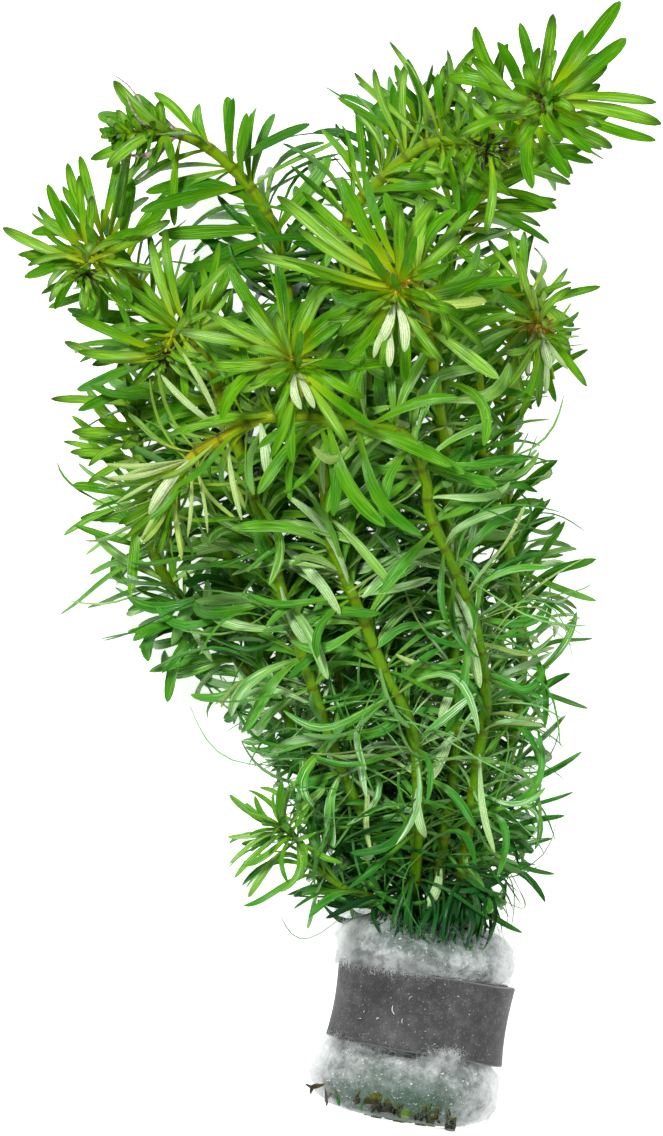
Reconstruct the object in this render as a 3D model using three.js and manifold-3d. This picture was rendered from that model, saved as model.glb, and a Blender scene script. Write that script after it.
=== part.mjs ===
// A cut bunch of whorled aquarium stems, lying on its side: twelve leafy stems with their growing crowns,
// the wad of filter floss packed round their cut ends, and the strip of weight metal wrapped round the floss.
// Millimetres. +Y runs from the cut ends to the growing tips, +Z is up, and the bunch lies on z = 0.
import * as THREE from "three";
import { mergeVertices } from "three/addons/utils/BufferGeometryUtils.js";
import Module from "manifold-3d";

const wasm = await Module();
wasm.setup();

// Driving dimensions
const GAP = 0.3; // kept between neighbouring pieces
// parting is the gap below the crown, and sag how far a facet may stray from the bend that it follows
const STALK = { radius: 1.2, sides: 5, sag: 0.45, longest: 60, parting: 0.5, curveDivisions: 600 };
// first is measured from the cut end, and every second whorl has leaves of its own
const WHORL = { first: 42, spacing: 10.2, every: 2, leaves: 3, leanDegrees: 62 };
// whorls are measured from the apex; the youngest leaves are the shortest and lean out least
const CROWN = { length: 13, whorls: [1.2, 3.8, 8], leaves: 3, leanDegrees: [20, 70], size: [0.35, 1] };
// widest is where a blade is widest, and bow and droop how far it bends, as shares of its length
const LEAF = {
  width: 2.6, length: 17, crownLength: 20, longest: 31, widest: 0.6, bow: 0.13, droop: 0.12, mostRise: 7,
  rootDepth: 0.3,
};
// How leaves vary: their lean and length, the directions that one tries in turn, and the closest two may point,
// as the cosine of the angle between them
const VARIETY = { leanDegrees: 9, length: 1.5, triedDegrees: [0, 14, -14, 28, -28], closest: 0.85 };
// A leaf with a given tip: the share that rise towards it, how far it may turn from its stalk's direction, as
// cosines of the angle between them, and how many whorls it tries
const REACH = { rising: 0.6, turned: [-0.5, 0.93], tries: 12 };
const HOLDER = { x: 17.3, y: -89.4, z: 15.8, lean: THREE.MathUtils.degToRad(9.8), flatness: 0.875 };
const STRIP = {
  radius: 18.6, width: 16, thickness: 1.2, lapDegrees: 40, outerEndDegrees: -30, lapGap: 0.25, facets: 22,
};
const FLOSS = {
  hole: 8.9, waist: 15.4, sides: 14,
  lumps: { height: 0.35, waves: [{ round: 3, along: 0.33 }, { round: 5, along: -0.5 }] },
  profile: [
    [8.9, -19], [11.5, -21.5], [16.5, -20.5], [19.4, -14], [15.4, -8.4],
    [15.4, 8.4], [18.4, 11.5], [17.2, 15.5], [13, 18.5], [8.9, 13], [8.9, -19],
  ],
};
const HOLDER_TOP = 18.5; // where the stems begin to part, along the holder
const CUT_END = -22.6; // how far the cut ends stand below the middle of the strip, along the holder
const SURFACE = { tip: 0, blade: 1.1 }; // lowest that a leaf's tip and the middle of its blade may come
const MERGE = 1e-4; // corners closer than this are one corner

// Each stem leaves the holder at a slot of the packed bundle, an angle round it on the outer or the inner ring,
// and follows its route to the apex. tips are the ends of the leaves that give the bunch its outline from above.
const RINGS = { outer: 6.4, inner: 2.4 };
const STEMS = [
  {
    name: "right",
    ring: "outer",
    degrees: 0,
    route: [
      [28.6, -64.4, 17], [32.3, -49.6, 21], [36.7, -33.6, 24], [38.3, -16.4, 27], [35.7, 2.6, 29],
      [30.3, 21.6, 30], [29.3, 38.6, 29], [24.1, 56.6, 27], [23.5, 66, 27], [29.7, 75, 31],
      [36.7, 85.6, 38], [41.7, 92, 47], [42.7, 93.6, 53],
    ],
    tips: [
      [37.5, 108.6], [33.1, 105], [27.9, 101.6], [28.7, 93.6], [50.3, 107.6], [57.5, 112.8], [58.7, 105.5],
      [52.9, 102.8], [64.7, 92.6], [65.7, 88.4], [64.7, 85.2], [56.3, 84.2], [45.5, 81.8],
      [41.1, 80.8], [52.3, 80.8], [46.9, 9.4], [53.1, 1.8], [53.1, -6.6], [49.3, -8.8], [52.7, -14.2],
      [48.1, -21.2], [47.1, -29.6], [50.5, -37], [48.7, -45.2], [47.1, -50], [44.7, -54.6], [40.5, -60],
    ],
  },
  {
    name: "top_middle",
    ring: "inner",
    degrees: 45,
    route: [
      [17.5, -46.4, 25], [14.5, -26.4, 29], [9.7, 23.6, 34], [2.7, 61.6, 38], [3.7, 70.6, 39],
      [9.9, 77.8, 41], [18.5, 84.4, 43], [26.7, 85.2, 45], [31.5, 83.4, 49],
    ],
    tips: [
      [1.1, 93.8], [2.1, 88.6], [4.5, 99], [8.5, 99.8], [11.5, 105.2], [15.1, 101], [12.3, 96.8],
      [18.5, 75], [23.1, 77], [36.3, 74.4], [30.5, 66.2],
    ],
  },
  {
    name: "upper_rear",
    ring: "outer",
    degrees: 270,
    route: [
      [20.5, -56.4, 9], [18.7, -26.4, 11], [15.7, 13.6, 14], [12.7, 53.6, 17], [12.3, 73.6, 20],
      [15.7, 85.6, 23], [20.3, 91, 27], [23.5, 94, 32],
    ],
    tips: [[29.1, 104.8], [26.5, 102.4], [20.3, 99], [15.9, 96.6], [34, 92]],
  },
  {
    name: "top_left",
    ring: "inner",
    degrees: 315,
    route: [
      [7.5, -46.4, 22], [-0.3, -6.4, 28], [-6.3, 33.6, 32], [-9.9, 61.6, 33], [-13.7, 72.6, 34],
      [-19.3, 79.6, 35], [-26.3, 85.2, 36], [-33.3, 87.6, 37], [-38.3, 87.2, 38], [-43.9, 86.8, 40],
    ],
    tips: [
      [-43.5, 97.4], [-35.7, 95.6], [-39.7, 94.8], [-46.9, 90.8], [-48.3, 81.8], [-44.9, 79.8],
      [-42.1, 76], [-42.9, 70.2], [-11.5, 91.4], [-16.9, 91], [-4.3, 88.8], [1.9, 86.2], [-22.9, 74.8],
      [-37.3, 75.4], [-17.5, 73], [-31.5, 68.6],
    ],
  },
  {
    name: "left",
    ring: "inner",
    degrees: 225,
    route: [
      [1.7, -50.4, 17], [-10.3, -26.4, 20], [-20.3, 1.6, 23], [-27.3, 25.6, 26], [-34.7, 47.6, 29],
      [-41.3, 60, 33], [-45.9, 64.4, 38], [-48.7, 62, 44], [-48.9, 58.2, 48],
    ],
    tips: [
      [-56.5, 76.4], [-50.3, 78.2], [-42.7, 84], [-65.7, 68], [-62.7, 62.6], [-61.3, 58],
      [-58.1, 54.8], [-56.9, 52.2], [-52.3, 50.8], [-46.9, 47.8], [-36.9, 67.8], [-32.1, 69.4], [-23.5, 62.4],
    ],
  },
  {
    name: "middle_left",
    ring: "inner",
    degrees: 135,
    route: [
      [4.7, -46.4, 26], [-6.3, -16.4, 35], [-15.3, 13.6, 41], [-21.9, 33.6, 44], [-26.3, 44.6, 47],
      [-30.7, 47.2, 51], [-33.5, 41.4, 56],
    ],
    tips: [
      [-53.1, 45], [-50.3, 43], [-47.7, 40.4], [-50.9, 49.6], [-35.9, 65.2], [-33.1, 67.6], [-19.5, 61.2],
    ],
  },
  {
    name: "low_left",
    ring: "outer",
    degrees: 225,
    route: [
      [8.9, -56.8, 11], [2.7, -46.4, 10], [-5.7, -33.2, 10], [-12.5, -25.4, 11], [-20.7, -16.4, 12],
      [-26.9, -9.8, 13], [-32.5, -3.8, 14], [-36.3, 4, 15], [-38.3, 13.6, 16], [-39.3, 25.6, 18],
      [-38.7, 32.6, 21],
    ],
    tips: [
      [-54.9, -9.4], [-54.3, 6.6], [-51.9, 8.6], [-47.9, 6.8], [-56.5, 34], [-52.5, 30.8], [-49.7, 26.8],
      [-54.3, 25.6], [-41.3, -8.6], [-41.1, -12.8], [-36.9, -21], [-31.7, -18.4], [-33.3, -27.2],
      [-27.7, -21.8], [-17.7, -32.4],
    ],
  },
  {
    name: "front",
    ring: "outer",
    degrees: 90,
    route: [
      [22.1, -58, 24], [24.7, -38.4, 30], [24.5, -16.4, 36], [23.7, 1.6, 41], [23.1, 17.6, 47],
      [21.1, 33.6, 57], [18.7, 47.6, 66], [16.1, 57.8, 74], [13.4, 56.4, 79], [12.1, 50.6, 81], [11.5, 44.6, 81],
    ],
    tips: [
      [-10.8, 73.2], [-5.8, 74.1], [-6.9, 67.2], [1.9, 77], [6.3, 78.2], [14.5, 69.2],
      [20.9, 70.6], [-17.5, 63.8], [-15.9, 61.8], [-11.3, 61], [-4.1, 59.2], [29.9, 57.6], [37.3, 57],
      [32.3, 39], [27.7, 35.2], [2.7, 44], [2.7, 40.6], [5.9, 40.4], [14.3, 36.6], [7.5, 35.6],
    ],
  },
  {
    name: "centre",
    ring: "outer",
    degrees: 135,
    route: [
      [17.3, -50, 31], [16.1, -32.4, 36], [10.9, -21.4, 39], [6.5, -10.8, 42], [1.9, 0, 46],
      [-0.5, 5.8, 48], [-1.7, 19.2, 53], [-4.3, 27.6, 57], [-6.7, 36.6, 63], [-8.5, 42.2, 70],
      [-7.1, 39.6, 76], [-5.9, 33.6, 77],
    ],
    tips: [
      [-1.5, 61], [-30.3, 46.8], [-18.3, 55.4], [3.1, 47.6], [2.5, 45.8], [1.7, 38], [6.3, 33.4],
      [-14.9, 31], [1.3, 29.8],
    ],
  },
  {
    name: "arching",
    ring: "outer",
    degrees: 45,
    route: [
      [27.9, -49.4, 29], [29.4, -38, 33], [30.9, -27, 36], [29.9, -17.4, 40], [27.7, -8.2, 44],
      [22.9, 3.2, 51], [19.5, 11, 55], [18.7, 17.2, 58], [15.7, 25, 62], [10.7, 27.8, 65], [2.5, 28.4, 67],
      [-6.5, 29.8, 67], [-14.9, 29.4, 66], [-21.3, 26, 64], [-27.5, 22, 61], [-33.3, 11.6, 56],
    ],
    tips: [
      [-43.7, 20.8], [-45.9, 18.2], [-45.1, 15.8], [-41.7, 13.4], [-43.5, 10.6], [-40.9, 8.4], [-37.7, 4.8],
      [-33.9, 3.2], [-29.5, 2.8], [-27.5, 2.2], [-24.3, 4.2], [-36.1, 37.6], [-34.3, 39.4], [-17.7, 9.8],
      [-12.5, 18.4],
    ],
  },
  {
    name: "upper_right",
    ring: "outer",
    degrees: 315,
    route: [
      [29.7, -46.4, 12], [33.7, -16.4, 15], [35.3, 13.6, 19], [36.1, 33.6, 25], [37.7, 49.6, 32],
      [39.5, 55.2, 38], [40.7, 50.6, 44], [42.7, 43.6, 46], [44.3, 37.6, 46],
    ],
    tips: [
      [54.1, 56.6], [51.7, 44], [50.9, 36.2], [44.9, 33.2], [41.3, 32],
      [37.5, 29.6], [32.5, 33.2], [45.5, 21.6], [44.3, 14], [38.7, 67.6], [46.1, -0.4], [51.9, -28.4],
      [41.9, -43.6], [45.1, -61.8], [43.3, -67.8], [38.5, -73.6],
    ],
  },
  {
    name: "side_shoot",
    ring: "outer",
    degrees: 180,
    route: [
      [11.6, -67.4, 21], [7.6, -66, 24], [2.3, -64.2, 27], [-4.3, -58.8, 28], [-6.9, -54.8, 30], [-9.9, -52.2, 33],
    ],
    tips: [
      [-20.5, -45.4], [-17.3, -47.4], [-20.9, -54], [-9.9, -42.6], [-7.1, -42.4], [-1.3, -44], [-20.5, -59.4],
      [-19.5, -62.2], [-16.7, -66.2], [-7.5, -68.4], [-4.9, -72.6],
    ],
  },
];

// Finishes, by the first word of a piece's name
const FINISHES = {
  stem: { color: "#3f7d24", roughness: 0.6, metalness: 0 },
  crown: { color: "#5fa61e", roughness: 0.6, metalness: 0 },
  floss: { color: "#dfe6df", roughness: 0.9, metalness: 0 },
  weight: { color: "#6a6a6c", roughness: 0.6, metalness: 0.7 },
};

const UP = new THREE.Vector3(0, 0, 1);
const ALONG = new THREE.Vector3(Math.sin(HOLDER.lean), Math.cos(HOLDER.lean), 0);
const ACROSS = new THREE.Vector3(Math.cos(HOLDER.lean), -Math.sin(HOLDER.lean), 0);

// A point of the holder's own frame: across it, along its axis towards the tips, and up.
function holderPoint(across, along, up) {
  return new THREE.Vector3(HOLDER.x, HOLDER.y, HOLDER.z)
    .addScaledVector(ACROSS, across)
    .addScaledVector(ALONG, along)
    .addScaledVector(UP, up * HOLDER.flatness);
}

// A repeatable stream of numbers from 0 to 1, made by mixing the bits of a counter.
function randomStream(seed) {
  let state = seed;
  return () => {
    state = (state + 0x6d2b79f5) | 0;
    let mixed = Math.imul(state ^ (state >>> 15), 1 | state);
    mixed = (mixed + Math.imul(mixed ^ (mixed >>> 7), 61 | mixed)) ^ mixed;
    return ((mixed ^ (mixed >>> 14)) >>> 0) / 4294967296;
  };
}
const random = randomStream(11);
const spread = (amount) => (random() * 2 - 1) * amount;

// A closed geometry as a solid that can be joined and cut.
function solidOf(geometry) {
  geometry.deleteAttribute("normal");
  geometry.deleteAttribute("uv");
  const merged = mergeVertices(geometry, MERGE);
  return new wasm.Manifold(
    new wasm.Mesh({
      numProp: 3,
      vertProperties: new Float32Array(merged.attributes.position.array),
      triVerts: new Uint32Array(merged.index.array),
    }),
  );
}

function meshOf(name, solid) {
  const made = solid.getMesh();
  const geometry = new THREE.BufferGeometry();
  geometry.setAttribute("position", new THREE.BufferAttribute(new Float32Array(made.vertProperties), 3));
  geometry.setIndex(new THREE.BufferAttribute(new Uint32Array(made.triVerts), 1));
  geometry.computeVertexNormals();
  const [kind] = name.split("_");
  const mesh = new THREE.Mesh(geometry, new THREE.MeshStandardMaterial(FINISHES[kind]));
  mesh.name = name;
  return mesh;
}

// Every solid made so far, with the piece that it belongs to, so that leaves of other pieces keep clear of it.
const placed = [];

function place(owner, solid) {
  placed.push({ owner, solid, box: solid.boundingBox() });
}

function boxesMeet(a, b) {
  return [0, 1, 2].every((axis) => a.min[axis] - GAP < b.max[axis] && b.min[axis] - GAP < a.max[axis]);
}

function isClear(owner, solid) {
  const box = solid.boundingBox();
  return placed.every(
    (other) => other.owner === owner || !boxesMeet(box, other.box) || solid.minGap(other.solid, GAP) >= GAP,
  );
}

// The strip's cross-section: an oval spiral that laps over its own start, seen along the holder's axis.
function stripShape() {
  const sweep = 360 + STRIP.lapDegrees;
  const inner = STRIP.radius - STRIP.thickness - STRIP.lapGap;
  const outline = (inset) =>
    Array.from({ length: STRIP.facets + 1 }, (_, i) => {
      const turned = (sweep * i) / STRIP.facets;
      const angle = THREE.MathUtils.degToRad(STRIP.outerEndDegrees + turned);
      const lift = 1 - THREE.MathUtils.smoothstep(turned, STRIP.lapDegrees, 3 * STRIP.lapDegrees);
      const radius = inner + (STRIP.thickness + STRIP.lapGap) * lift - inset;
      return new THREE.Vector2(radius * Math.cos(angle), -radius * Math.sin(angle));
    });
  return new THREE.Shape([...outline(0), ...outline(STRIP.thickness).reverse()]);
}

// Moves a geometry made round the Z axis into the holder, Z along the holder's axis and -Y up.
function intoHolder(geometry) {
  const frame = new THREE.Matrix4().makeBasis(ACROSS, UP.clone().multiplyScalar(-HOLDER.flatness), ALONG);
  frame.setPosition(HOLDER.x, HOLDER.y, HOLDER.z);
  return geometry.applyMatrix4(frame);
}

function stripSolid() {
  const geometry = new THREE.ExtrudeGeometry(stripShape(), { depth: STRIP.width, bevelEnabled: false });
  return solidOf(intoHolder(geometry.translate(0, 0, -STRIP.width / 2)));
}

// The floss is a lumpy ring: it bulges out above and below the strip and is flat where it rests.
function flossSolid() {
  const { hole, waist, profile, sides, lumps } = FLOSS;
  const geometry = new THREE.LatheGeometry(
    profile.map(([radius, along]) => new THREE.Vector2(radius, along)),
    sides,
  );
  geometry.rotateX(Math.PI / 2);
  const points = geometry.attributes.position;
  for (let i = 0; i < points.count; i++) {
    const [x, y, z] = [points.getX(i), points.getY(i), points.getZ(i)];
    const radius = Math.hypot(x, y);
    const angle = Math.atan2(y, x);
    const swell = lumps.waves.reduce((sum, wave) => sum + Math.sin(wave.round * angle + wave.along * z), 0);
    const bulge = radius > waist + GAP ? lumps.height * swell : 0;
    const grown = Math.max(hole, radius + bulge) / radius;
    points.setXYZ(i, x * grown, y * grown, z);
  }
  const side = 4 * STRIP.radius;
  const under = new THREE.BoxGeometry(side, side, side).translate(HOLDER.x, HOLDER.y, -side / 2);
  return solidOf(intoHolder(geometry)).subtract(solidOf(under));
}

// A stem's centreline: straight through the holder, then along its route to the apex.
function centreline(stem) {
  const angle = THREE.MathUtils.degToRad(stem.degrees);
  const across = RINGS[stem.ring] * Math.cos(angle);
  const up = RINGS[stem.ring] * Math.sin(angle);
  const held = [CUT_END, 0, HOLDER_TOP].map((along) => holderPoint(across, along, up));
  const free = stem.route.map(([x, y, z]) => new THREE.Vector3(x, y, z));
  const curve = new THREE.CatmullRomCurve3([...held, ...free]);
  curve.arcLengthDivisions = STALK.curveDivisions;
  return curve;
}

// The distances along a centreline where its facets meet, close together only where it bends.
function facetEnds(curve, from, to) {
  const length = curve.getLength();
  const at = (station) => curve.getPointAt(station / length);
  const chord = new THREE.Line3(at(from), at(to));
  const sags = [0.25, 0.5, 0.75].map((share) => {
    const point = at(from + (to - from) * share);
    return chord.closestPointToPoint(point, true, new THREE.Vector3()).distanceTo(point);
  });
  if (Math.max(...sags) < STALK.sag && to - from < STALK.longest) return [from, to];
  const half = (from + to) / 2;
  return [...facetEnds(curve, from, half), ...facetEnds(curve, half, to).slice(1)];
}

// A path through chosen places of a curve, so that an extrusion has a ring of corners at each of them.
class FacetedPath extends THREE.Curve {
  constructor(curve, ends) {
    super();
    this.curve = curve;
    this.ends = ends;
  }
  share(t) {
    return this.ends[Math.round(t * (this.ends.length - 1))] / this.curve.getLength();
  }
  getPointAt(t) {
    return this.curve.getPointAt(this.share(t));
  }
  getTangentAt(t) {
    return this.curve.getTangentAt(this.share(t));
  }
}

// The stretch of a stalk between two distances along its centreline.
function stalkSolid(curve, from, to) {
  const ends = facetEnds(curve, from, to);
  const corners = Array.from({ length: STALK.sides }, (_, i) => {
    const angle = (2 * Math.PI * i) / STALK.sides;
    return new THREE.Vector2(STALK.radius * Math.cos(angle), STALK.radius * Math.sin(angle));
  });
  const settings = { steps: ends.length - 1, extrudePath: new FacetedPath(curve, ends) };
  return solidOf(new THREE.ExtrudeGeometry(new THREE.Shape(corners), settings));
}

// The whorls of a stem, each with the place and the direction of the stalk there.
function whorlsOf(stem, curve) {
  const length = curve.getLength();
  const whorls = [];
  const add = (owner, station, size, lean) =>
    whorls.push({
      owner,
      size,
      lean,
      point: curve.getPointAt(station / length),
      tangent: curve.getTangentAt(station / length),
      taken: [],
    });
  CROWN.whorls.forEach((back, i) => {
    const age = (i + 1) / CROWN.whorls.length;
    const size = LEAF.crownLength * THREE.MathUtils.lerp(...CROWN.size, age);
    add("crown_" + stem.name, length - back, size, THREE.MathUtils.lerp(...CROWN.leanDegrees, age));
  });
  const last = length - CROWN.length - GAP - STALK.radius;
  for (let station = last; station > WHORL.first; station -= WHORL.spacing) {
    add("stem_" + stem.name, station, LEAF.length, WHORL.leanDegrees);
  }
  return whorls;
}

// A blade that bows towards the growing tip, widest beyond its middle, with its edges folded up.
function bladeSolid(base, tip, tangent) {
  const chord = tip.clone().sub(base);
  const along = chord.clone().normalize();
  const over = tangent.clone().addScaledVector(along, -tangent.dot(along)).normalize();
  const side = along.clone().cross(over).multiplyScalar(LEAF.width / 2);
  const centre = base.clone().addScaledVector(chord, LEAF.widest).addScaledVector(over, LEAF.bow * chord.length());
  centre.z = Math.max(centre.z, SURFACE.blade);
  const corners = [base, centre.clone().add(side), centre.clone().sub(side), tip];
  const geometry = new THREE.BufferGeometry().setFromPoints(corners);
  geometry.setIndex([0, 1, 2, 2, 1, 3, 0, 2, 3, 0, 3, 1]);
  return solidOf(geometry);
}

// Adds the first of some leaves that keeps clear of the other pieces, and says whether there was one.
function growLeaf(choices) {
  for (const { whorl, tip } of choices) {
    const reach = tip.clone().sub(whorl.point).normalize();
    const base = whorl.point.clone().addScaledVector(reach, LEAF.rootDepth);
    tip.z = Math.max(tip.z, SURFACE.tip);
    const leaf = bladeSolid(base, tip, whorl.tangent);
    if (isClear(whorl.owner, leaf)) {
      place(whorl.owner, leaf);
      whorl.taken.push(reach);
      return true;
    }
  }
  return false;
}

// A leaf that ends over a given place: it grows from the whorl that suits its length best.
function growToTip(whorls, [x, y]) {
  const choices = [];
  const sign = random() < REACH.rising ? 1 : -1;
  const [least, most] = REACH.turned;
  for (const whorl of whorls) {
    const flat = Math.hypot(x - whorl.point.x, y - whorl.point.y);
    const size = Math.max(whorl.size, LEAF.length);
    const rise = Math.min(LEAF.mostRise, Math.sqrt(Math.max(0, size * size - flat * flat)));
    for (const share of [sign, 0, -sign]) {
      const tip = new THREE.Vector3(x, y, whorl.point.z + share * rise);
      const chord = tip.clone().sub(whorl.point);
      const facing = chord.dot(whorl.tangent) / chord.length();
      if (chord.length() > LEAF.longest || facing < least || facing > most) continue;
      choices.push({ whorl, tip, misfit: Math.abs(chord.length() - size) + Math.abs(share - sign) });
    }
  }
  choices.sort((a, b) => a.misfit - b.misfit);
  growLeaf(choices.slice(0, REACH.tries));
}

// The other leaves of a whorl, spread round the stalk.
function growWhorl(whorl, count) {
  const reference = Math.abs(whorl.tangent.z) < Math.SQRT1_2 ? UP : ALONG;
  const first = whorl.tangent.clone().cross(reference).normalize();
  const second = whorl.tangent.clone().cross(first);
  const turn = random() * 360;
  for (let i = 0; i < count; i++) {
    const choices = VARIETY.triedDegrees.map((offset) => {
      const around = THREE.MathUtils.degToRad(turn + (360 * i) / count + offset);
      const lean = THREE.MathUtils.degToRad(whorl.lean + spread(VARIETY.leanDegrees));
      const out = first.clone().multiplyScalar(Math.cos(around)).addScaledVector(second, Math.sin(around));
      const reach = whorl.tangent.clone().multiplyScalar(Math.cos(lean)).addScaledVector(out, Math.sin(lean));
      const tip = whorl.point.clone().addScaledVector(reach, whorl.size + spread(VARIETY.length));
      tip.z -= LEAF.droop * whorl.size * Math.sin(lean);
      return { whorl, tip, reach };
    });
    growLeaf(choices.filter(({ reach }) => whorl.taken.every((other) => other.dot(reach) < VARIETY.closest)));
  }
}

place("weight_strip", stripSolid());
place("floss_wad", flossSolid());
const grown = STEMS.map((stem) => {
  const curve = centreline(stem);
  const split = curve.getLength() - CROWN.length;
  place("stem_" + stem.name, stalkSolid(curve, 0, split - STALK.parting));
  place("crown_" + stem.name, stalkSolid(curve, split, curve.getLength()));
  return { stem, whorls: whorlsOf(stem, curve) };
});
for (const { stem, whorls } of grown) {
  for (const tip of stem.tips) growToTip(whorls, tip);
}
for (const { whorls } of grown) {
  whorls.forEach((whorl, i) => {
    if (whorl.owner.startsWith("crown_")) growWhorl(whorl, CROWN.leaves);
    else if (i % WHORL.every === 0) growWhorl(whorl, WHORL.leaves);
  });
}

const bunch = new THREE.Group();
for (const owner of new Set(placed.map((piece) => piece.owner))) {
  const solids = placed.filter((piece) => piece.owner === owner).map((piece) => piece.solid);
  const whole = solids.reduce((joined, solid) => joined.add(solid));
  bunch.add(meshOf(owner, whole));
}
export default bunch;
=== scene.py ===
import math

import bpy
import numpy as np
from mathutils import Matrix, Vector


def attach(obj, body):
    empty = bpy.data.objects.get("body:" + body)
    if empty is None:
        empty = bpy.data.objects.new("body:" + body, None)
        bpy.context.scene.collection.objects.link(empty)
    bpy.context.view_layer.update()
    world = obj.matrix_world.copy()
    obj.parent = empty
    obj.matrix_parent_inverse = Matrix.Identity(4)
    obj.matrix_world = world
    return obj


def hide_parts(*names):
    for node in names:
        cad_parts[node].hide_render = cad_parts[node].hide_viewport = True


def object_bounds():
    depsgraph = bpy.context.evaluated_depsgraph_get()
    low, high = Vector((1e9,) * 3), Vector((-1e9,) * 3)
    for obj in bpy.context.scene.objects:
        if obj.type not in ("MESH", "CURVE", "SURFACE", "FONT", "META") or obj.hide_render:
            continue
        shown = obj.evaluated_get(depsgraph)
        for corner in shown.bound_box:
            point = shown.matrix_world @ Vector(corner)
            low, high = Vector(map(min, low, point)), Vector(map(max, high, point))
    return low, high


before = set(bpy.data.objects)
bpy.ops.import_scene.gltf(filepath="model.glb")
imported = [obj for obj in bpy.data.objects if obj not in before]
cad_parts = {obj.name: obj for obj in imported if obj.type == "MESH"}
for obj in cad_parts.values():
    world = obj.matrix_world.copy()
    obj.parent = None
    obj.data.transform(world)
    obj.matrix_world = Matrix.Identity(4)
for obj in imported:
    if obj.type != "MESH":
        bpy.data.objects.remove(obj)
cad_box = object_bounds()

# Sizes are in millimetres, which MM turns into the scene's metres. +Y runs from the cut ends to the tips.
MM = 0.001
# The camera looks straight down. Its height, that of the plane with the photo's scale, and the floor's size
# and gap are in metres.
PHOTO = {"height": 1136, "mm_per_pixel": 0.2}
CAMERA = {"height": 2.4, "sensor": 36.0, "scale_plane": 0.04}
FLOOR = {"size": 24, "gap": 0.0002, "colour": (0.9, 0.9, 0.9), "roughness": 0.9, "glow": 0.8}
SKY = 0.2
# Name, place in metres, side length and watts of each soft light
LIGHTS = [("key", (-0.5, 0.55, 1.25), 0.28, 20.0), ("fill", (0.75, -0.35, 0.95), 0.35, 7.0)]

# The holder is the axis that the wad and the strip share: its middle, its lean from +Y, and its height as a
# share of its width. The stems are held round it in two rings, from their cut ends to its top.
HOLDER = {"x": 17.3, "y": -89.4, "z": 15.8, "lean": math.radians(9.8), "flatness": 0.875}
HOLDER_TOP = 18.5
CUT_END = -22.6
RINGS = {"outer": 6.4, "inner": 2.4}
# lap and outer_end are in degrees: how far the strip laps over itself, and where its outer end is.
STRIP = {
    "radius": 18.6, "width": 16, "thickness": 1.2, "lap": 40, "outer_end": -30, "lap_gap": 0.25,
    "edge": 0.25, "flare": 0.5,
}
# The wad's outline: distance along the holder, and radius there
WAD = np.array([
    (-22.4, 3), (-22.2, 9), (-21.4, 14), (-19.4, 17.6), (-16, 19.2), (-13, 19.2), (-10.4, 18), (-8.6, 16.6),
    (-7.6, 15.4), (7.6, 15.4), (8.6, 16.4), (10.6, 17.6), (12.6, 18), (15, 17), (17, 14.6), (18.4, 11),
    (18.8, 4),
])
# The distance along the holder that place counts as 1 on the wad
WAD_REACH = 22
# Where the floss has sunk away under the strip's lower edge. It fades out over the blend at both sides.
GAP = {"across": (-11.5, 3), "blend": 3, "along": -8.7, "length": 0.9, "depth": 5.0}

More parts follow.
